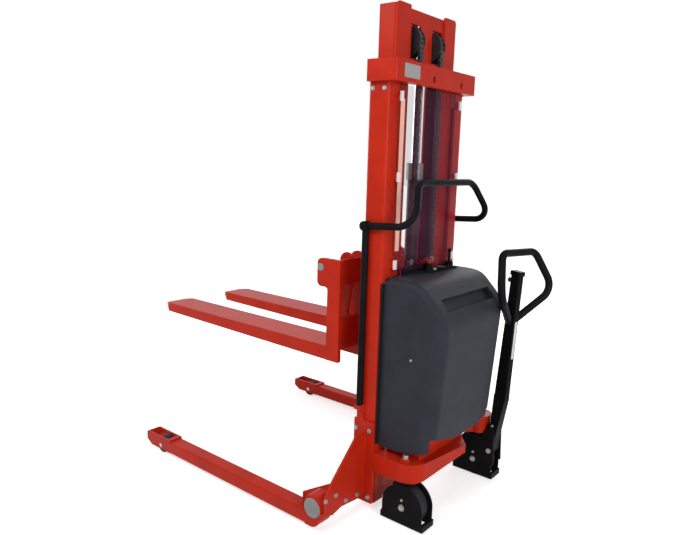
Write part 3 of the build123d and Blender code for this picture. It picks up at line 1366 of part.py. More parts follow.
def control_panel():
    outline = face_of([
        (PANEL_LEFT, PANEL_FRONT),
        (PANEL_RIGHT, PANEL_FRONT),
        (PANEL_RIGHT, PANEL_REAR),
        (PANEL_SLANT_END, PANEL_REAR),
        (PANEL_ARM_END, PANEL_ARM_REAR),
        (PANEL_LEFT, PANEL_ARM_REAR),
    ])
    panel = plate_xy(outline, COVER_TOP, PANEL_TOP)
    panel += block(PANEL_LEFT, SILL_RIGHT, PANEL_ARM_REAR, PANEL_FRONT, COVER_TOP, COVER_TOP + SILL_HEIGHT)
    panel += rod_z(PANEL_TOP - 1, PANEL_TOP + STOP_COLLAR_HEIGHT, STOP_X, CONTROL_Y, STOP_COLLAR)
    panel -= rod_z(COVER_TOP + 2, PANEL_TOP + 40, STOP_X, CONTROL_Y, STOP_STEM + RUN_FIT)
    pivot_z = PANEL_TOP + LEVER_PIVOT_RISE
    for side in (-1, 1):
        near = LEVER_HUB_HALF + 0.5
        y0, y1 = sorted((CONTROL_Y + side * near, CONTROL_Y + side * (near + 6)))
        round_end = LEVER_CHEEK / 2
        panel += block(LEVER_X - round_end, LEVER_X + round_end, y0, y1, PANEL_TOP - 1, pivot_z)
        panel += rod_y(y0, y1, LEVER_X, pivot_z, round_end)
    pin_half = LEVER_HUB_HALF + 2
    return panel + rod_y(CONTROL_Y - pin_half, CONTROL_Y + pin_half, LEVER_X, pivot_z, LEVER_HUB / 2)


def lift_lever():
    z = PANEL_TOP + LEVER_PIVOT_RISE
    hub = rod_y(CONTROL_Y - LEVER_HUB_HALF, CONTROL_Y + LEVER_HUB_HALF, LEVER_X, z, LEVER_HUB)
    stem = rod_z(z, z + LEVER_LENGTH, LEVER_X, CONTROL_Y, LEVER_STEM)
    knob = Pos(LEVER_X, CONTROL_Y, z + LEVER_LENGTH) * Sphere(LEVER_BALL)
    end = LEVER_HUB_HALF + 1
    hole = rod_y(CONTROL_Y - end, CONTROL_Y + end, LEVER_X, z, LEVER_HUB / 2 + RUN_FIT)
    return hub + stem + knob - hole


def stop_button():
    collar_top = PANEL_TOP + STOP_COLLAR_HEIGHT
    cap_bottom = collar_top + STOP_TRAVEL + GAP
    cap = rod_z(cap_bottom, cap_bottom + STOP_CAP_HEIGHT, STOP_X, CONTROL_Y, STOP_CAP)
    cap = fillet(cap.edges().group_by(Axis.Z)[-1], 6.0)
    stem_bottom = COVER_TOP + 2 + STOP_TRAVEL + 1
    return cap + rod_z(stem_bottom, cap_bottom + 1, STOP_X, CONTROL_Y, STOP_STEM)


# Bolts

def bolt_heads():
    heads = []
    gusset_bolts = [(BRACKET_OUTER + reach, z) for reach, z in GUSSET_BOLTS]
    gusset_bolts += [(LEG_OUTER - inset, z) for inset, z in HEEL_BOLTS]
    rear = HEEL_REAR - BRACKET_THICK
    for x, z in gusset_bolts:
        heads.append(rod_y(rear - BOLT_HEAD, rear, x, z, BOLT_RADIUS))
    for y, z in SIDE_BOLTS:
        heads.append(rod_x(BRACKET_OUTER, BRACKET_OUTER + BOLT_HEAD, y, z, BOLT_RADIUS))
    for y in MAST_BOLTS:
        heads.append(rod_x(MAST_HALF, MAST_HALF + BOLT_HEAD, y, PAD_Z, BOLT_RADIUS))
    heads.append(rod_x(COVER_HALF, COVER_HALF + SCREW_HEAD, COVER_SCREW_Y, COVER_SCREW_Z, SCREW_RADIUS))
    return both_sides(heads)


# The whole stacker, one entry for each named piece

def stacker():
    column = outer_column()
    inner = inner_column()
    sheave = chain_sheave()
    guide = inner_roller()
    leg = straddle_leg()
    fork_right = fork()
    roller = leg_roller()
    upper_roller = carriage_roller(UPPER_ROLLER_Z)
    lower_roller = carriage_roller(LOWER_ROLLER_Z)
    rear_run = chain_run(REAR_CHAIN_Y, FIXED_ANCHOR_TOP, SHEAVE_Z)
    front_run = chain_run(FRONT_CHAIN_Y, CARRIAGE_ANCHOR_TOP, SHEAVE_Z)
    return {
        "outer_column_left": [other_side(column)],
        "outer_column_right": [column],
        "top_crossbeam": [top_crossbeam()],
        "mast_ties": mast_ties(),
        "chain_anchors": chain_anchors(),
        "mast_wear_pads": mast_wear_pads(),
        "base_pan": [base_pan()],
        "steering_arm": [steering_arm()],
        "straddle_brackets": both_sides([straddle_bracket()]),
        "straddle_leg_left": [other_side(leg)],
        "straddle_leg_right": [leg],
        "leg_end_caps": both_sides([leg_end_cap()]),
        "leg_roller_axles": both_sides([leg_roller_axle()]),
        "leg_roller_left": [other_side(roller)],
        "leg_roller_right": [roller],
        "chassis_bolts": bolt_heads(),
        "push_handle": [push_handle()],
        "safety_screen": [safety_screen()],
        "screen_clips": screen_clips(),
        "rear_cover": [rear_cover()],
        "lift_cylinder": [lift_cylinder()],
        "cylinder_gland": [cylinder_gland()],
        "oil_tank": [oil_tank()],
        "pump_motor": [pump_motor()],
        "batteries": batteries(),
        "charger_box": [charger_box()],
        "pressure_hose": [pressure_hose()],
        "control_panel": [control_panel()],
        "lift_lever": [lift_lever()],
        "stop_button": [stop_button()],
        "inner_column_left": [other_side(inner)],
        "inner_column_right": [inner],
        "inner_crosshead": [inner_crosshead()],
        "inner_mast_pins": inner_mast_pins(),
        "inner_roller_left": [other_side(guide)],
        "inner_roller_right": [guide],
        "lift_rod": [lift_rod()],
        "chain_sheave_left": [other_side(sheave)],
        "chain_sheave_right": [sheave],
        "chain_wraps": chain_wraps(),
        "rear_chains": both_sides([rear_run]),
        "front_chains": both_sides([front_run]),
        "fork_left": [other_side(fork_right)],
        "fork_right": [fork_right],
        "carriage_frame": [carriage_frame()],
        "carriage_shaft": [carriage_shaft()],
        "carriage_roller_upper_left": [other_side(upper_roller)],
        "carriage_roller_upper_right": [upper_roller],
        "carriage_roller_lower_left": [other_side(lower_roller)],
        "carriage_roller_lower_right": [lower_roller],
        "castor_fork": [castor_fork()],
        "castor_axle": [axle(CASTOR_X, CASTOR_AXLE_Y)],
        "castor_wheel": [wheel(CASTOR_X, CASTOR_AXLE_Y)],
        "steer_yoke": [steer_yoke()],
        "steer_axle": [axle(STEER_X, STEER_Y)],
        "steer_wheel": [wheel(STEER_X, STEER_Y)],
        "tiller_pivot": [tiller_pivot()],
        "tiller_tube": [tiller_tube()],
        "tiller_loop": [tiller_loop()],
        "tiller_button": [tiller_button()],
    }


pieces = stacker()
boxes = [shape.bounding_box() for shapes in pieces.values() for shape in shapes]
rear_most = min(box.min.Y for box in boxes)
front_most = max(box.max.Y for box in boxes)
ORIGIN_Y = -(rear_most + front_most) / 2
print("pieces", len(pieces), "moved along Y by", round(ORIGIN_Y, 4))

os.makedirs("parts", exist_ok=True)
for name, shapes in pieces.items():
    placed = [Pos(0, ORIGIN_Y, 0) * shape for shape in shapes]
    whole = placed[0] if len(placed) == 1 else Compound(children=placed)
    export_step(whole, f"parts/{name}.step")
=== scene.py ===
import math

import bpy
import bmesh
from mathutils import Matrix, Vector


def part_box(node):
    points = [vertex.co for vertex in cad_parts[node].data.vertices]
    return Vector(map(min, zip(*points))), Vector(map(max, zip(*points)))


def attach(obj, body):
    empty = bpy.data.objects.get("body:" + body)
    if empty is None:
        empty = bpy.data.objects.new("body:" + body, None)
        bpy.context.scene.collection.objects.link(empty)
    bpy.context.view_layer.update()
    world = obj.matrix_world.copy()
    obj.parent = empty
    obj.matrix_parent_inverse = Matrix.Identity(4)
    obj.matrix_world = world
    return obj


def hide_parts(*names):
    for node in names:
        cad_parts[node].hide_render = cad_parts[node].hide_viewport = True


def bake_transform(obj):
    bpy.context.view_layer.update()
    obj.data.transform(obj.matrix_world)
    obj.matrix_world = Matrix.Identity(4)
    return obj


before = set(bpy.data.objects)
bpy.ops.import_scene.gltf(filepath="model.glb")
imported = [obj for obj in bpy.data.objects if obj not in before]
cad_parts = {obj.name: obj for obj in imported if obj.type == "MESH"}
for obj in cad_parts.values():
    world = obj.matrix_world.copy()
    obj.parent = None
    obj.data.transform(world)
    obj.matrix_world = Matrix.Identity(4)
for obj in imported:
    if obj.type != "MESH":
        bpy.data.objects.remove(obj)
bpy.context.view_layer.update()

# The rear face of the outer columns, from which every other place is measured.
COLUMN_DEPTH = 0.100
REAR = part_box("outer_column_left")[1][1] - COLUMN_DEPTH


def at(x, y, z):
    """A point in metres from millimetres, with y measured ahead of the columns' rear face."""
    return Vector((x / 1000, REAR + y / 1000, z / 1000))


# Material helpers

def new_material(name):
    material = bpy.data.materials.new(name)
    material.use_nodes = True
    shader = material.node_tree.nodes["Principled BSDF"]
    return material, material.node_tree.nodes, material.node_tree.links, shader


def ramp_between(nodes, links, value, low, high, stops=(0.35, 0.65)):
    ramp = nodes.new("ShaderNodeValToRGB")
    ramp.color_ramp.elements[0].position = stops[0]
    ramp.color_ramp.elements[1].position = stops[1]
    ramp.color_ramp.elements[0].color = (*low, 1)
    ramp.color_ramp.elements[1].color = (*high, 1)
    links.new(value, ramp.inputs["Fac"])
    return ramp.outputs["Color"]


def noise(nodes, links, coords, scale, detail=4.0, roughness=0.55):
    texture = nodes.new("ShaderNodeTexNoise")
    texture.inputs["Scale"].default_value = scale
    texture.inputs["Detail"].default_value = detail
    texture.inputs["Roughness"].default_value = roughness
    links.new(coords, texture.inputs["Vector"])
    return texture.outputs["Fac"]


def maths(nodes, links, operation, first, second, clamp=False):
    """One Math node; the second value may be a number or another node's output."""
    node = nodes.new("ShaderNodeMath")
    node.operation = operation
    node.use_clamp = clamp
    links.new(first, node.inputs[0])
    if isinstance(second, (int, float)):
        node.inputs[1].default_value = second
    else:
        links.new(second, node.inputs[1])
    return node.outputs[0]


# The inside of the inner columns' channels, where the red paint is darkened as painted shade.
TRACK_HALF = 0.2192
TRACK_REAR = 0.0298
TRACK_FRONT = 0.1002


def channel_shade_mask(nodes, links, coords):
    """One inside the channels that the carriage rollers run in, where painted shade darkens them, with an
    uneven strength, and none outside.
    """
    split = nodes.new("ShaderNodeSeparateXYZ")
    links.new(coords, split.inputs[0])
    side = nodes.new("ShaderNodeMath")
    side.operation = "ABSOLUTE"
    links.new(split.outputs["X"], side.inputs[0])
    mask = maths(nodes, links, "LESS_THAN", side.outputs[0], TRACK_HALF)
    ahead = maths(nodes, links, "GREATER_THAN", split.outputs["Y"], REAR + TRACK_REAR)
    behind = maths(nodes, links, "LESS_THAN", split.outputs["Y"], REAR + TRACK_FRONT)
    mask = maths(nodes, links, "MULTIPLY", maths(nodes, links, "MULTIPLY", mask, ahead), behind)
    uneven_shade = nodes.new("ShaderNodeMapRange")
    uneven_shade.inputs["To Min"].default_value = 0.75
    links.new(noise(nodes, links, coords, 14.0), uneven_shade.inputs["Value"])
    return maths(nodes, links, "MULTIPLY", mask, uneven_shade.outputs["Result"])


def surface(name, colour, spread=0.10, rough=0.35, rough_spread=0.08, metallic=0.0, grain=900.0,
            grain_height=0.00002, patch=9.0, coat=0.0, edge=0.0015, edge_wear_and_highlight=None, shine_level=0.5, channel_shade=None):
    """One finish: patchy colour, uneven gloss, a fine bump, softened edges and, if given, lighter specks on
    them, a painted edge highlight with a little wear.
    Channel shade, if given, is a dark colour painted inside the channels of the inner columns as their shade."""
    material, nodes, links, shader = new_material(name)
    coords = nodes.new("ShaderNodeTexCoord").outputs["Object"]
    low = tuple(c * (1 - spread) for c in colour)
    high = tuple(min(1.0, c * (1 + spread)) for c in colour)
    patches = noise(nodes, links, coords, patch, 6.0)
    paint = ramp_between(nodes, links, patches, low, high)
    soft_edge = nodes.new("ShaderNodeBevel")
    soft_edge.samples = 4
    soft_edge.inputs["Radius"].default_value = edge
    # Lighter specks on the edges: a painted edge highlight, with a little wear.
    if edge_wear_and_highlight:
        facing = nodes.new("ShaderNodeVectorMath")
        facing.operation = "DOT_PRODUCT"
        links.new(soft_edge.outputs["Normal"], facing.inputs[0])
        links.new(nodes.new("ShaderNodeNewGeometry").outputs["True Normal"], facing.inputs[1])
        bend = nodes.new("ShaderNodeMapRange")
        bend.inputs["From Min"].default_value = 0.985
        bend.inputs["From Max"].default_value = 0.80
        links.new(facing.outputs["Value"], bend.inputs["Value"])
        specks = noise(nodes, links, coords, 60.0, 6.0)
        edge_specks = maths(nodes, links, "MULTIPLY", specks, bend.outputs["Result"])
        chosen = maths(nodes, links, "MULTIPLY", edge_specks, 0.55, clamp=True)
        mix = nodes.new("ShaderNodeMix")
        mix.data_type = "RGBA"
        links.new(chosen, mix.inputs["Factor"])
        links.new(paint, mix.inputs["A"])
        mix.inputs["B"].default_value = (*edge_wear_and_highlight, 1)
        paint = mix.outputs["Result"]
    # Painted shade: a dark colour over the inside of the inner columns' channels.
    if channel_shade:
        mix = nodes.new("ShaderNodeMix")
        mix.data_type = "RGBA"
        links.new(channel_shade_mask(nodes, links, coords), mix.inputs["Factor"])
        links.new(paint, mix.inputs["A"])
        mix.inputs["B"].default_value = (*channel_shade, 1)
        paint = mix.outputs["Result"]
    links.new(paint, shader.inputs["Base Color"])
    shine = nodes.new("ShaderNodeMapRange")
    shine.inputs["To Min"].default_value = rough - rough_spread
    shine.inputs["To Max"].default_value = rough + rough_spread
    links.new(noise(nodes, links, coords, patch * 4, 5.0), shine.inputs["Value"])
    links.new(shine.outputs["Result"], shader.inputs["Roughness"])
    bump = nodes.new("ShaderNodeBump")
    bump.inputs["Strength"].default_value = 0.6
    bump.inputs["Distance"].default_value = grain_height
    links.new(noise(nodes, links, coords, grain, 2.0), bump.inputs["Height"])
    links.new(soft_edge.outputs["Normal"], bump.inputs["Normal"])
    links.new(bump.outputs["Normal"], shader.inputs["Normal"])
    shader.inputs["Metallic"].default_value = metallic
    shader.inputs["Coat Weight"].default_value = coat
    shader.inputs["Coat Roughness"].default_value = 0.12
    shader.inputs["Specular IOR Level"].default_value = shine_level
    return material


RED_PAINT = (0.48, 0.020, 0.006)
# Lighter edge colour for the red paint: a painted edge highlight, with a little wear.
RED_EDGE_WEAR_AND_HIGHLIGHT = (0.56, 0.08, 0.04)
RED = surface("red_paint", RED_PAINT, 0.08, 0.34, coat=0.02, edge_wear_and_highlight=RED_EDGE_WEAR_AND_HIGHLIGHT, shine_level=0.09)
# Red paint with painted shade darkening the inside of the inner columns' channels.
SHADED_CHANNEL_RED = surface("red_paint_channel_shade", RED_PAINT, 0.08, 0.34, coat=0.02, edge_wear_and_highlight=RED_EDGE_WEAR_AND_HIGHLIGHT, shine_level=0.09,
                channel_shade=(0.030, 0.014, 0.014))
# The black paint's lighter grey edges are a painted edge highlight, with a little wear.
BLACK = surface("black_paint", (0.007, 0.007, 0.008), 0.25, 0.42, edge_wear_and_highlight=(0.03, 0.03, 0.03), shine_level=0.03)
COVER = surface("cover_abs", (0.031, 0.032, 0.041), 0.10, 0.50, grain=1600.0, grain_height=0.00006,
                shine_level=0.07)
GREY = surface("grey_cap", (0.25, 0.24, 0.24), 0.10, 0.42, shine_level=0.3)
ZINC = surface("zinc_plate", (0.30, 0.30, 0.29), 0.12, 0.38, metallic=0.85)
STEEL = surface("turned_steel", (0.42, 0.42, 0.43), 0.12, 0.30, metallic=1.0)
CHROME = surface("chrome_rod", (0.75, 0.75, 0.77), 0.04, 0.10, 0.03, metallic=1.0)
CYLINDER = surface("cylinder_paint", (0.030, 0.028, 0.030), 0.15, 0.40, shine_level=0.25)
GLAND = surface("gland_steel", (0.34, 0.33, 0.31), 0.10, 0.42, metallic=0.4, shine_level=0.3)
CHAIN = surface("chain_steel", (0.045, 0.043, 0.043), 0.25, 0.38, metallic=0.6, shine_level=0.25)
SHEAVE = surface("sheave_iron", (0.016, 0.016, 0.018), 0.25, 0.50, shine_level=0.2)
NYLON = surface("white_nylon", (0.84, 0.84, 0.82), 0.05, 0.45, shine_level=0.3)
TYRE = surface("wheel_poly", (0.020, 0.020, 0.022), 0.20, 0.50, shine_level=0.12)
PLASTIC = surface("black_plastic", (0.007, 0.007, 0.008), 0.20, 0.40, grain=1400.0, grain_height=0.00004,
                  shine_level=0.035)
RED_PLASTIC = surface("red_plastic", (0.26, 0.009, 0.008), 0.08, 0.32, shine_level=0.25)
RUBBER = surface("hose_rubber", (0.010, 0.010, 0.011), 0.20, 0.60, shine_level=0.15)
PLATE = surface("bare_plate", (0.32, 0.32, 0.31), 0.05, 0.42, metallic=0.2, shine_level=0.3)
STRIP = surface("pale_strip", (0.72, 0.72, 0.71), 0.05, 0.42, shine_level=0.3)
DIAL = surface("dial_face", (0.24, 0.24, 0.22), 0.04, 0.50, shine_level=0.3)


# A pale salmon strip on the sheet's left edge, between the clips: a painted reflection of the red column.
SHEET_REFLECTION_START = -0.206
SHEET_REFLECTION_END = -0.200
SHEET_REFLECTION_FOOT = 0.075
SHEET_REFLECTION_HEAD = 0.028
SHEET_REFLECTION_COLOUR = (1.0, 0.56, 0.43)
SHEET_REFLECTION_DENSITY = 0.70
SHEET_TINT_LOW = (0.100, 0.014, 0.050)
SHEET_TINT_HIGH = (0.120, 0.018, 0.062)
SHEET_HAZE_LOW = 0.16
SHEET_HAZE_HIGH = 0.21


def clear_sheet():
    """A thin sheet: mostly see-through, faintly tinted, a little glossy, with a painted reflection at its
    left, a pale salmon strip between the clips.
    """
    material, nodes, links, shader = new_material("clear_sheet")
    coords = nodes.new("ShaderNodeTexCoord").outputs["Object"]
    split = nodes.new("ShaderNodeSeparateXYZ")
    links.new(coords, split.inputs[0])
    # The painted reflection strip, near the left edge and between the clips.
    reflection = nodes.new("ShaderNodeMapRange")
    reflection.inputs["From Min"].default_value = SHEET_REFLECTION_END
    reflection.inputs["From Max"].default_value = SHEET_REFLECTION_START
    links.new(split.outputs["X"], reflection.inputs["Value"])
    clips_low, clips_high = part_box("screen_clips")
    over = maths(nodes, links, "GREATER_THAN", split.outputs["Z"], clips_low[2] + SHEET_REFLECTION_FOOT)
    under = maths(nodes, links, "LESS_THAN", split.outputs["Z"], clips_high[2] - SHEET_REFLECTION_HEAD)
    between = maths(nodes, links, "MULTIPLY", over, under)
    strip = maths(nodes, links, "MULTIPLY", reflection.outputs["Result"], between)
    patches = noise(nodes, links, coords, 5.0)
    tint = ramp_between(nodes, links, patches, SHEET_TINT_LOW, SHEET_TINT_HIGH)
    mix = nodes.new("ShaderNodeMix")
    mix.data_type = "RGBA"
    links.new(strip, mix.inputs["Factor"])
    links.new(tint, mix.inputs["A"])
    mix.inputs["B"].default_value = (*SHEET_REFLECTION_COLOUR, 1)
    links.new(mix.outputs["Result"], shader.inputs["Base Color"])
    haze = nodes.new("ShaderNodeMapRange")
    haze.inputs["To Min"].default_value = SHEET_HAZE_LOW
    haze.inputs["To Max"].default_value = SHEET_HAZE_HIGH
    links.new(noise(nodes, links, coords, 3.0, 3.0), haze.inputs["Value"])
    reflection_alpha = maths(nodes, links, "MULTIPLY", strip, SHEET_REFLECTION_DENSITY)
    links.new(maths(nodes, links, "ADD", haze.outputs["Result"], reflection_alpha), shader.inputs["Alpha"])
    shader.inputs["Roughness"].default_value = 0.12
    shader.inputs["Specular IOR Level"].default_value = 0.12
    return material


CLEAR = clear_sheet()

finish_of = {
    RED: [
        "outer_column_left", "outer_column_right", "top_crossbeam", "mast_ties", "base_pan", "steering_arm",
        "straddle_brackets", "straddle_leg_left", "straddle_leg_right", "inner_crosshead", "fork_left",
        "fork_right", "carriage_frame",
    ],
    SHADED_CHANNEL_RED: ["inner_column_left", "inner_column_right"],
    BLACK: ["push_handle", "castor_fork", "steer_yoke", "tiller_tube"],
    COVER: ["rear_cover"],
    GREY: ["leg_end_caps", "carriage_shaft"],
    ZINC: ["chain_anchors", "chassis_bolts", "castor_axle", "steer_axle", "tiller_pivot"],
    STEEL: [
        "leg_roller_axles", "inner_mast_pins", "inner_roller_left", "inner_roller_right",
        "carriage_roller_upper_left", "carriage_roller_upper_right", "carriage_roller_lower_left",
        "carriage_roller_lower_right",
    ],
    CHROME: ["lift_rod"],
    CYLINDER: ["lift_cylinder", "oil_tank", "pump_motor", "charger_box"],
    GLAND: ["cylinder_gland"],
    CHAIN: ["chain_wraps", "rear_chains", "front_chains"],
    SHEAVE: ["chain_sheave_left", "chain_sheave_right"],
    NYLON: ["mast_wear_pads", "screen_clips"],
    TYRE: ["castor_wheel", "steer_wheel", "leg_roller_left", "leg_roller_right"],
    # The control panel's black also covers the dark gap before the cover's top: a real panel, partly standing
    # in as painted shade.
    PLASTIC: ["control_panel", "tiller_loop", "batteries", "lift_lever"],
    RED_PLASTIC: ["stop_button", "tiller_button"],
    RUBBER: ["pressure_hose"],
    CLEAR: ["safety_screen"],
}
for material, names in finish_of.items():
    for name in names:
        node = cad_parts[name]
        node.data.materials.clear()
        node.data.materials.append(material)


# Mesh helpers

def piece(name, mesh, *materials, smooth=35.0):
    """An object from a bmesh, shaded smooth up to an angle in degrees."""
    bmesh.ops.recalc_face_normals(mesh, faces=mesh.faces)
    data = bpy.data.meshes.new(name)
    mesh.to_mesh(data)
    mesh.free()
    data.shade_smooth()
    data.set_sharp_from_angle(angle=math.radians(smooth))
    for material in materials:
        data.materials.append(material)
    item = bpy.data.objects.new(name, data)
    bpy.context.scene.collection.objects.link(item)
    return item


def facing(place, axis):
    """A frame at a point whose Z looks along the axis."""
    return Matrix.Translation(place) @ Vector(axis).to_track_quat("Z", "Y").to_matrix().to_4x4()


def turned(mesh, place, profile, sides=20, slot=0, start=0.0):
    """A closed turned form from (radius, height) pairs in millimetres, on the frame's Z axis."""
    rings = []
    for radius, height in profile:
        if radius == 0:
            rings.append([mesh.verts.new(place @ Vector((0, 0, height / 1000)))])
            continue
        ring = []
        for step in range(sides):
            angle = start + 2 * math.pi * step / sides
            spot = Vector((radius * math.cos(angle), radius * math.sin(angle), height)) / 1000
            ring.append(mesh.verts.new(place @ spot))
        rings.append(ring)
    for low, high in zip(rings, rings[1:]):
        for step in range(sides):
            after = (step + 1) % sides
            corners = [
                low[step % len(low)], low[after % len(low)],
                high[after % len(high)], high[step % len(high)],
            ]
            kept = [c for i, c in enumerate(corners) if c not in corners[:i]]
            mesh.faces.new(kept).material_index = slot


def slab(mesh, place, outline, height, slot=0, base=0.0):
    """A flat closed form from an outline in millimetres, raised along the frame's Z axis."""
    low = [mesh.verts.new(place @ (Vector((x, y, base)) / 1000)) for x, y in outline]
    high = [mesh.verts.new(place @ (Vector((x, y, base + height)) / 1000)) for x, y in outline]
    mesh.faces.new(list(reversed(low))).material_index = slot
    mesh.faces.new(high).material_index = slot
    for step in range(len(outline)):
        after = (step + 1) % len(outline)
        mesh.faces.new([low[step], low[after], high[after], high[step]]).material_index = slot


def rounded(width, height, radius, steps=4):
    """The outline of a plate with round corners, in millimetres about its middle."""
    points = []
    for x, y, turn in ((1, 1, 0), (-1, 1, 90), (-1, -1, 180), (1, -1, 270)):
        for step in range(steps + 1):
            angle = math.radians(turn + 90 * step / steps)
            points.append((
                x * (width / 2 - radius) + radius * math.cos(angle),
                y * (height / 2 - radius) + radius * math.sin(angle),
            ))
    return points


def hex_bolt(mesh, place, across, head, washer=True, slot=0):
    """A bolt head on its washer, standing on the frame's origin."""
    lift = 0.0
    if washer:
        lift = head * 0.22
        turned(mesh, place, [(0, 0), (across * 0.62, 0), (across * 0.66, lift * 0.5), (across * 0.62, lift),
                             (0, lift)], 24, slot)
    corner = across / math.sqrt(3)
    turned(mesh, place, [(0, lift), (corner, lift), (corner, head * 0.80), (corner * 0.84, head),
                         (corner * 0.55, head), (corner * 0.50, head * 0.94), (0, head * 0.94)], 6, slot, 0.3)


def pan_screw(mesh, place, radius, head, slot=0):
    """A low round screw head with a cross in it."""
    turned(mesh, place, [(0, 0), (radius, 0), (radius, head * 0.35), (radius * 0.8, head * 0.8),
                         (radius * 0.45, head), (0, head)], 20, slot)
    for turn in (0, math.pi / 2):
        bar = rounded(radius * 1.1, radius * 0.22, radius * 0.1, 2)
        slab(mesh, place @ Matrix.Rotation(turn, 4, "Z"), bar, head * 0.06, slot, head * 0.98)


def weld_bead(mesh, start, end, radius):
    """A rippled bead of weld between two points, with its radius in millimetres."""
    along = end - start
    count = max(6, round(along.length * 1000 / (radius * 0.5)))
    place = facing(start, along)
    profile = [(0, -radius * 0.4)]
    for step in range(count + 1):
        ripple = 0.82 + 0.18 * math.cos(step * math.pi)
        profile.append((radius * ripple, along.length * 1000 * step / count))
    profile.append((0, along.length * 1000 + radius * 0.4))
    turned(mesh, place, profile, 8)


# Leaf chains: plates on pins, from the fixed anchor over the sheave and down to the carriage

CHAIN_X = (-78, 78)
CHAIN_WIDTH = 26.0
CHAIN_THICK = 17.0
SHEAVE_Y = 55.0
SHEAVE_Z = 1950.0
SHEAVE_PITCH = 52.0
FIXED_ANCHOR_TOP = 1064.0
CARRIAGE_ANCHOR_TOP = 905.0
CHAIN_PITCH = 19.05
PLATE_THICK = 3.2
PLATE_PLACES = ((-10.8, -3.6, 3.6, 10.8), (-7.2, 0.0, 7.2))
PIN_RADIUS = 3.2
PIN_PROFILE = [
    (0, 0), (PIN_RADIUS * 0.8, 0.2), (PIN_RADIUS, 0.8), (PIN_RADIUS, CHAIN_WIDTH - 0.8),
    (PIN_RADIUS * 0.8, CHAIN_WIDTH - 0.2), (0, CHAIN_WIDTH),
]


def spaced(first, last):
    count = round(abs(last - first) / CHAIN_PITCH)
    return [first + (last - first) * step / count for step in range(count + 1)]


def link_outline(length):
    radius = CHAIN_THICK * 0.46
    points = []
    for step in range(7):
        angle = math.radians(-75 + 150 * step / 6)
        points.append((length + radius * math.cos(angle), radius * math.sin(angle)))
    points.append((length / 2, radius * 0.80))
    for step in range(7):
        angle = math.radians(105 + 150 * step / 6)
        points.append((radius * math.cos(angle), radius * math.sin(angle)))
    points.append((length / 2, -radius * 0.80))
    return points


def chain(name, spots, first_link, node):
    """The plates and pins of one stretch of both chains; spots are (y, z) in millimetres."""
    mesh = bmesh.new()
    for x in CHAIN_X:
        for order, (near, far) in enumerate(zip(spots, spots[1:])):
            ahead = Vector((0, far[0] - near[0], far[1] - near[1]))
            length = ahead.length
            ahead.normalize()
            side = Vector((1, 0, 0))
            across = side.cross(ahead)
            for offset in PLATE_PLACES[(first_link + order) % 2]:
                turn = Matrix((ahead, across, side)).transposed().to_4x4()
                place = Matrix.Translation(at(x + offset - PLATE_THICK / 2, *near)) @ turn
                slab(mesh, place, link_outline(length), PLATE_THICK)
        for spot in spots:
            pin = facing(at(x - CHAIN_WIDTH / 2, *spot), (1, 0, 0))
            turned(mesh, pin, PIN_PROFILE, 10)
    item = piece(name, mesh, CHAIN)
    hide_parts(node)
    return item


def leaf_chains():
    rear_y = SHEAVE_Y - SHEAVE_PITCH
    front_y = SHEAVE_Y + SHEAVE_PITCH
    rising = [(rear_y, z) for z in spaced(FIXED_ANCHOR_TOP, SHEAVE_Z)]
    bends = len(spaced(0.0, math.pi * SHEAVE_PITCH)) - 1
    over = []
    for step in range(bends + 1):
        angle = math.pi - math.pi * step / bends
        over.append((SHEAVE_Y + SHEAVE_PITCH * math.cos(angle), SHEAVE_Z + SHEAVE_PITCH * math.sin(angle)))
    falling = [(front_y, z) for z in spaced(SHEAVE_Z, CARRIAGE_ANCHOR_TOP)]
    rear = chain("rear_leaf_chains", rising, 0, "rear_chains")
    top = chain("wrapped_leaf_chains", over, len(rising) - 1, "chain_wraps")
    front = chain("front_leaf_chains", falling, len(rising) + len(over) - 2, "front_chains")
    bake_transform(rear)
    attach(top, "inner_mast")
    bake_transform(front)


leaf_chains()


# Bolts in place of the plain bolt heads, each found from its own solid

def islands(node):
    """The separate solids of a node as (lowest, highest) corners."""
    mesh = bmesh.new()
    mesh.from_mesh(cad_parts[node].data)
    bmesh.ops.remove_doubles(mesh, verts=mesh.verts, dist=0.00001)
    left = set(mesh.verts)
    found = []
    while left:
        group = [left.pop()]
        for vert in group:
            for edge in vert.link_edges:
                other = edge.other_vert(vert)
                if other in left:
                    left.discard(other)
                    group.append(other)
        low = Vector(tuple(min(v.co[i] for v in group) for i in range(3)))
        high = Vector(tuple(max(v.co[i] for v in group) for i in range(3)))
        found.append((low, high))
    mesh.free()
    return sorted(found, key=lambda pair: tuple(round(c, 4) for c in pair[0]))


SCREW_WIDEST = 14.0


def chassis_bolts():
    """A screw or a hex head in place of each solid, facing away from the piece it stands on."""
    mesh = bmesh.new()
    for low, high in islands("chassis_bolts"):
        size = (high - low) * 1000
        middle = (low + high) / 2
        if size.x < size.y:
            outward = Vector((math.copysign(1, middle.x), 0, 0))
            head = size.x
            wide = size.y
        else:
            outward = Vector((0, -1, 0))
            head = size.y
            wide = size.x
        place = facing(middle - outward * head / 2000, outward)
        if wide < SCREW_WIDEST:
            pan_screw(mesh, place, wide / 2, head)
        else:
            hex_bolt(mesh, place, wide * 0.86, head)
    item = piece("chassis_hex_bolts", mesh, ZINC)
    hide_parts("chassis_bolts")
    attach(item, "chassis")


chassis_bolts()


# Axle bolts and guard screws on the two rear wheels

GUARD_HALF = 42.0
AXLE_RADIUS = 9.9
AXLE_HEAD = 22.0
GUARD_SCREW = 10.0
GUARD_SCREW_HEAD = 5.0
CASTOR_SCREWS = [(-160, 116)]
STEER_SCREWS = [(-165, 116), (-255, 274)]


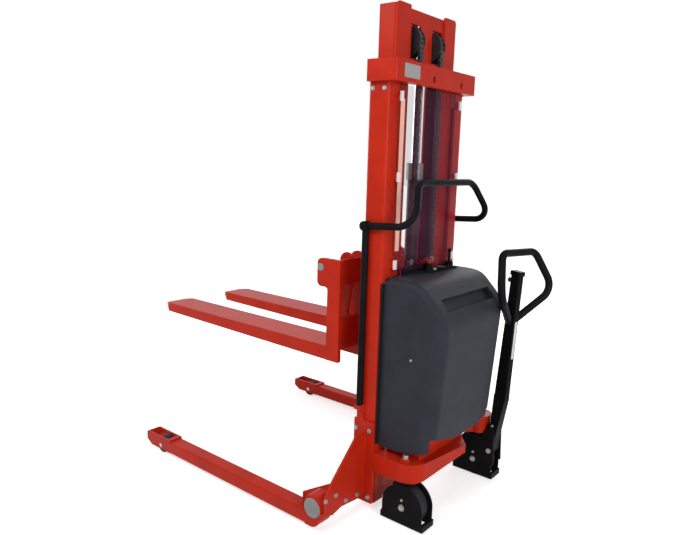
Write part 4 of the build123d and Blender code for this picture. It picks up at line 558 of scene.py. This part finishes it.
def wheel_bolts(name, node, body, spots):
    """The hex heads of an axle with the small screws of its guard; spots are (y, z) in millimetres."""
    low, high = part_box(node)
    mesh = bmesh.new()
    middle = (Vector(low) + Vector(high)) / 2
    half = (high[0] - low[0]) * 500
    for side in (-1, 1):
        start = middle + Vector((side * GUARD_HALF / 1000, 0, 0))
        hex_bolt(mesh, facing(start, (side, 0, 0)), AXLE_HEAD, half - GUARD_HALF)
        for y, z in spots:
            spot = Vector((start.x, REAR + y / 1000, z / 1000))
            hex_bolt(mesh, facing(spot, (side, 0, 0)), GUARD_SCREW, GUARD_SCREW_HEAD)
    bar = [(0, 0), (AXLE_RADIUS, 0), (AXLE_RADIUS, 2 * GUARD_HALF), (0, 2 * GUARD_HALF)]
    turned(mesh, facing(middle - Vector((GUARD_HALF / 1000, 0, 0)), (1, 0, 0)), bar, 24)
    item = piece(name, mesh, ZINC)
    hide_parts(node)
    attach(item, body)


wheel_bolts("castor_axle_bolt", "castor_axle", "castor", CASTOR_SCREWS)
wheel_bolts("steer_axle_bolt", "steer_axle", "steering", STEER_SCREWS)


# The nut and stud end on top of the castor's kingpin

KINGPIN_FOOT = (-262, -142, 264.2)
NUT_ACROSS = 36.0
NUT_HEIGHT = 12.9
STUD_RADIUS = 12.2
THREAD_RADIUS = 12.7
THREAD_START = 13.5
THREAD_PITCH = 2.4
THREAD_TURNS = 6


def kingpin_nut():
    mesh = bmesh.new()
    foot = facing(at(*KINGPIN_FOOT), (0, 0, 1))
    hex_bolt(mesh, foot, NUT_ACROSS, NUT_HEIGHT)
    stud = [(0, 12), (STUD_RADIUS, 12)]
    for step in range(THREAD_TURNS):
        crest = THREAD_START + THREAD_PITCH * step
        stud += [(THREAD_RADIUS, crest), (STUD_RADIUS, crest + THREAD_PITCH / 2)]
    stud += [(STUD_RADIUS, 28.0), (10.6, 30.4), (0, 30.4)]
    turned(mesh, foot, stud, 28, 1)
    item = piece("kingpin_nut", mesh, RED, ZINC)
    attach(item, "castor")


kingpin_nut()


# Plates and strips that carry no words, and black strips of painted shade beside the cover

BEAM_PLATE = (-201, -47, 1815.5)
BEAM_PLATE_SIZE = (106, 52)
RIVET_X = 48
RIVET_Y = 21
RIVET_PROFILE = [(0, 0), (2.6, 0), (2.2, 0.7), (1.2, 1.1), (0, 1.2)]
# Black strips beside the cover: painted shade on the columns' rear faces.
SHADE_STRIP_X = 265.5
SHADE_STRIP_BOTTOM = 300.0
SHADE_STRIP_HEIGHT = 685.0
SHADE_STRIP_LIP = [(0, 0), (20.5, 0), (20.5, -1.6), (12.0, -2.6), (2.0, -2.6), (0, -1.2)]
TILLER_FOOT = (326, -246, 148)
TILLER_LEAN = 4
TILLER_YAW = -14
STRIP_MIDDLE = (0, -0.0334, 0.545)
STRIP_OUTWARD = (0, -572, 18)


def beam_plate():
    mesh = bmesh.new()
    place = facing(at(*BEAM_PLATE), (0, -1, 0))
    slab(mesh, place, rounded(*BEAM_PLATE_SIZE, 4), 1.0)
    for x in (-RIVET_X, RIVET_X):
        for y in (-RIVET_Y, RIVET_Y):
            spot = place @ Matrix.Translation((x / 1000, y / 1000, 0.001))
            turned(mesh, spot, RIVET_PROFILE, 12)
    item = piece("beam_plate", mesh, PLATE)
    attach(item, "chassis")


def cover_shade_strips():
    """Black strips on the columns' rear faces, beside the cover: painted shade in the gap between the cover
    and the columns.
    """
    mesh = bmesh.new()
    for side in (-1, 1):
        place = Matrix.Translation(at(side * SHADE_STRIP_X, 0.0, SHADE_STRIP_BOTTOM))
        slab(mesh, place, [(side * x, y) for x, y in SHADE_STRIP_LIP], SHADE_STRIP_HEIGHT)
    # The hose's black finish, used here for painted shade.
    item = piece("cover_shade_strips", mesh, RUBBER)
    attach(item, "chassis")


def tiller_strip():
    """A bare strip on the rear face of the tiller's column."""
    place = (Matrix.Translation(at(*TILLER_FOOT)) @ Matrix.Rotation(math.radians(TILLER_LEAN), 4, "X")
             @ Matrix.Rotation(math.radians(TILLER_YAW), 4, "Z"))
    mesh = bmesh.new()
    face = place @ facing(Vector(STRIP_MIDDLE), STRIP_OUTWARD)
    slab(mesh, face, rounded(16, 176, 3), 0.6)
    slab(mesh, face, rounded(14, 174, 2.5), 0.3, 0, 0.6)
    item = piece("tiller_strip", mesh, STRIP)
    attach(item, "tiller")


PANEL_TOP = 1014.0
KEY_SPOT = (45, -40)
KEY_PROFILE = [(0, 0), (13, 0), (13, 2.0), (11.5, 3.2), (9.5, 3.2), (9.5, 5.5), (8.5, 6.2), (0, 6.2)]
GAUGE_SPOT = (105, -38)
GAUGE_RIM = [(0, 0), (24, 0), (24, 3.0), (22.5, 4.5), (20.5, 4.5), (20.0, 3.4), (0, 3.4)]
GAUGE_FACE = [(0, 3.3), (19.8, 3.3), (19.8, 3.6), (0, 3.6)]
GAUGE_HUB = [(0, 3.6), (2.6, 3.6), (2.2, 4.4), (0, 4.6)]
GAUGE_MARKS = range(-120, 121, 30)
NEEDLE_TURN = -50


def panel_fittings():
    """A key switch and a charge gauge, both on top of the panel."""
    mesh = bmesh.new()
    key = facing(at(*KEY_SPOT, PANEL_TOP), (0, 0, 1))
    turned(mesh, key, KEY_PROFILE, 28)
    slab(mesh, key, rounded(9.0, 1.6, 0.7, 2), 0.3, 1, 6.15)
    item = piece("key_switch", mesh, ZINC, PLASTIC)
    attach(item, "chassis")
    mesh = bmesh.new()
    gauge = facing(at(*GAUGE_SPOT, PANEL_TOP), (0, 0, 1))
    turned(mesh, gauge, GAUGE_RIM, 40)
    turned(mesh, gauge, GAUGE_FACE, 40, 1)
    for mark in GAUGE_MARKS:
        turn = Matrix.Rotation(math.radians(mark), 4, "Z")
        slab(mesh, gauge @ turn @ Matrix.Translation((0, 0.016, 0)), rounded(0.9, 4.0, 0.3, 2), 0.2, 0, 3.6)
    needle = gauge @ Matrix.Rotation(math.radians(NEEDLE_TURN), 4, "Z") @ Matrix.Translation((0, 0.006, 0))
    slab(mesh, needle, rounded(1.3, 17.0, 0.5, 2), 0.4, 2, 3.7)
    turned(mesh, gauge, GAUGE_HUB, 16)
    item = piece("charge_gauge", mesh, PLASTIC, DIAL, RED_PLASTIC)
    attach(item, "chassis")


beam_plate()
cover_shade_strips()
tiller_strip()
panel_fittings()


# Weld beads on the painted steel, as (x, y, z) of each end on the right side

CHASSIS_WELDS = [
    ((287, 4, 1771), (287, 88, 1771)),
    ((297, 42, 215), (297, 42, 338)),
    ((297, 52, 338), (297, 52, 215)),
]
CHASSIS_BEAD = 3.0
FORK_WELDS = [((124, 222.5, 668.5), (259, 222.5, 668.5))]
FORK_BEAD = 3.2


def welds(name, seams, radius, body):
    mesh = bmesh.new()
    for side in (-1, 1):
        for start, end in seams:
            weld_bead(mesh, at(side * start[0], *start[1:]), at(side * end[0], *end[1:]), radius)
    item = piece(name, mesh, RED)
    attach(item, body)


welds("chassis_welds", CHASSIS_WELDS, CHASSIS_BEAD, "chassis")
welds("fork_welds", FORK_WELDS, FORK_BEAD, "carriage")


# Floor, light and camera

FLOOR_WIDTH = 60
GLOW_START = 0.5
GLOW_END = 4.0
GLOW_LEAST = 0.60
SKY_STRENGTH = 0.20

# Each lamp: name, place, aim, watts and width
LAMPS = [
    ("key", (-3.0, -0.6, 3.8), (0, -0.3, 1.3), 50, 1.6),
    ("sheen", (-3.0, 1.2, 3.2), (0, -0.4, 1.7), 36, 1.4),
    ("fill", (-1.8, -4.5, 1.9), (0, -0.3, 0.8), 105, 2.4),
    ("front", (2.6, 2.6, 4.2), (0, 0, 0.7), 26, 2.4),
    ("ahead", (-0.6, 4.7, 1.7), (0, 0, 0.9), 70, 2.2),
    ("side", (4.3, 0.2, 1.9), (0, 0, 0.9), 60, 2.2),
]


def seen_rays(nodes, links):
    """One for rays from the camera, from gloss and through clear pieces, and none for the rest."""
    rays = nodes.new("ShaderNodeLightPath")
    seen = maths(nodes, links, "ADD", rays.outputs["Is Camera Ray"], rays.outputs["Is Glossy Ray"])
    return maths(nodes, links, "ADD", seen, rays.outputs["Is Transmission Ray"], clamp=True)


def studio_floor():
    """A pale floor that keeps the shadow and glows to white away from the object."""
    bpy.ops.mesh.primitive_plane_add(size=FLOOR_WIDTH, location=(0, 0, 0))
    floor = bpy.context.active_object
    floor.name = "studio_floor"
    material, nodes, links, shader = new_material("pale_floor")
    shader.inputs["Base Color"].default_value = (0.80, 0.80, 0.80, 1)
    shader.inputs["Roughness"].default_value = 0.8
    seen = seen_rays(nodes, links)
    coords = nodes.new("ShaderNodeTexCoord").outputs["Object"]
    reach = nodes.new("ShaderNodeVectorMath")
    reach.operation = "LENGTH"
    links.new(coords, reach.inputs[0])
    far = nodes.new("ShaderNodeMapRange")
    far.inputs["From Min"].default_value = GLOW_START
    far.inputs["From Max"].default_value = GLOW_END
    far.inputs["To Min"].default_value = GLOW_LEAST
    far.inputs["To Max"].default_value = 1.0
    links.new(reach.outputs["Value"], far.inputs["Value"])
    glow = nodes.new("ShaderNodeEmission")
    glow.inputs["Color"].default_value = (1, 1, 1, 1)
    links.new(maths(nodes, links, "MULTIPLY", seen, far.outputs["Result"]), glow.inputs["Strength"])
    both = nodes.new("ShaderNodeAddShader")
    links.new(shader.outputs["BSDF"], both.inputs[0])
    links.new(glow.outputs["Emission"], both.inputs[1])
    links.new(both.outputs["Shader"], nodes["Material Output"].inputs["Surface"])
    floor.data.materials.append(material)


def studio_world():
    """A soft light from all round, seen as plain white."""
    world = bpy.data.worlds.new("studio_world")
    bpy.context.scene.world = world
    world.use_nodes = True
    nodes, links = world.node_tree.nodes, world.node_tree.links
    soft = nodes["Background"]
    soft.inputs["Color"].default_value = (0.97, 0.98, 1.0, 1)
    soft.inputs["Strength"].default_value = SKY_STRENGTH
    white = nodes.new("ShaderNodeBackground")
    white.inputs["Color"].default_value = (1, 1, 1, 1)
    white.inputs["Strength"].default_value = 1.0
    mix = nodes.new("ShaderNodeMixShader")
    links.new(seen_rays(nodes, links), mix.inputs["Fac"])
    links.new(soft.outputs["Background"], mix.inputs[1])
    links.new(white.outputs["Background"], mix.inputs[2])
    links.new(mix.outputs["Shader"], nodes["World Output"].inputs["Surface"])


def studio_lamps():
    for name, place, aim, watts, width in LAMPS:
        data = bpy.data.lights.new(name, "AREA")
        data.energy = watts
        data.shape = "DISK"
        data.size = width
        item = bpy.data.objects.new(name, data)
        bpy.context.scene.collection.objects.link(item)
        item.location = place
        item.rotation_mode = "QUATERNION"
        item.rotation_quaternion = (Vector(aim) - Vector(place)).to_track_quat("-Z", "Y")


# The camera fitted to the photograph: its place is in metres from the columns' rear face
CAMERA_PLACE = (-2.289, -1.468, 1.472)
CAMERA_RIGHT = (0.6162, -0.7867, 0.0355)
CAMERA_AHEAD = (0.7799, 0.6034, -0.1661)


def photo_camera():
    data = bpy.data.cameras.new("photo_camera")
    camera = bpy.data.objects.new("photo_camera", data)
    bpy.context.scene.collection.objects.link(camera)
    ahead = Vector(CAMERA_AHEAD).normalized()
    right = Vector(CAMERA_RIGHT)
    right = (right - ahead * right.dot(ahead)).normalized()
    up = right.cross(ahead)
    turn = Matrix((right, up, -ahead)).transposed()
    place = Vector(CAMERA_PLACE) + Vector((0, REAR, 0))
    camera.matrix_world = Matrix.Translation(place) @ turn.to_4x4()
    data.sensor_width = 36.0
    data.lens = 32.46
    data.shift_x = -0.0223
    data.shift_y = -0.0015
    data.clip_end = 100
    bpy.context.scene.camera = camera


studio_floor()
studio_world()
studio_lamps()
photo_camera()
bpy.context.scene.view_settings.view_transform = "Standard"
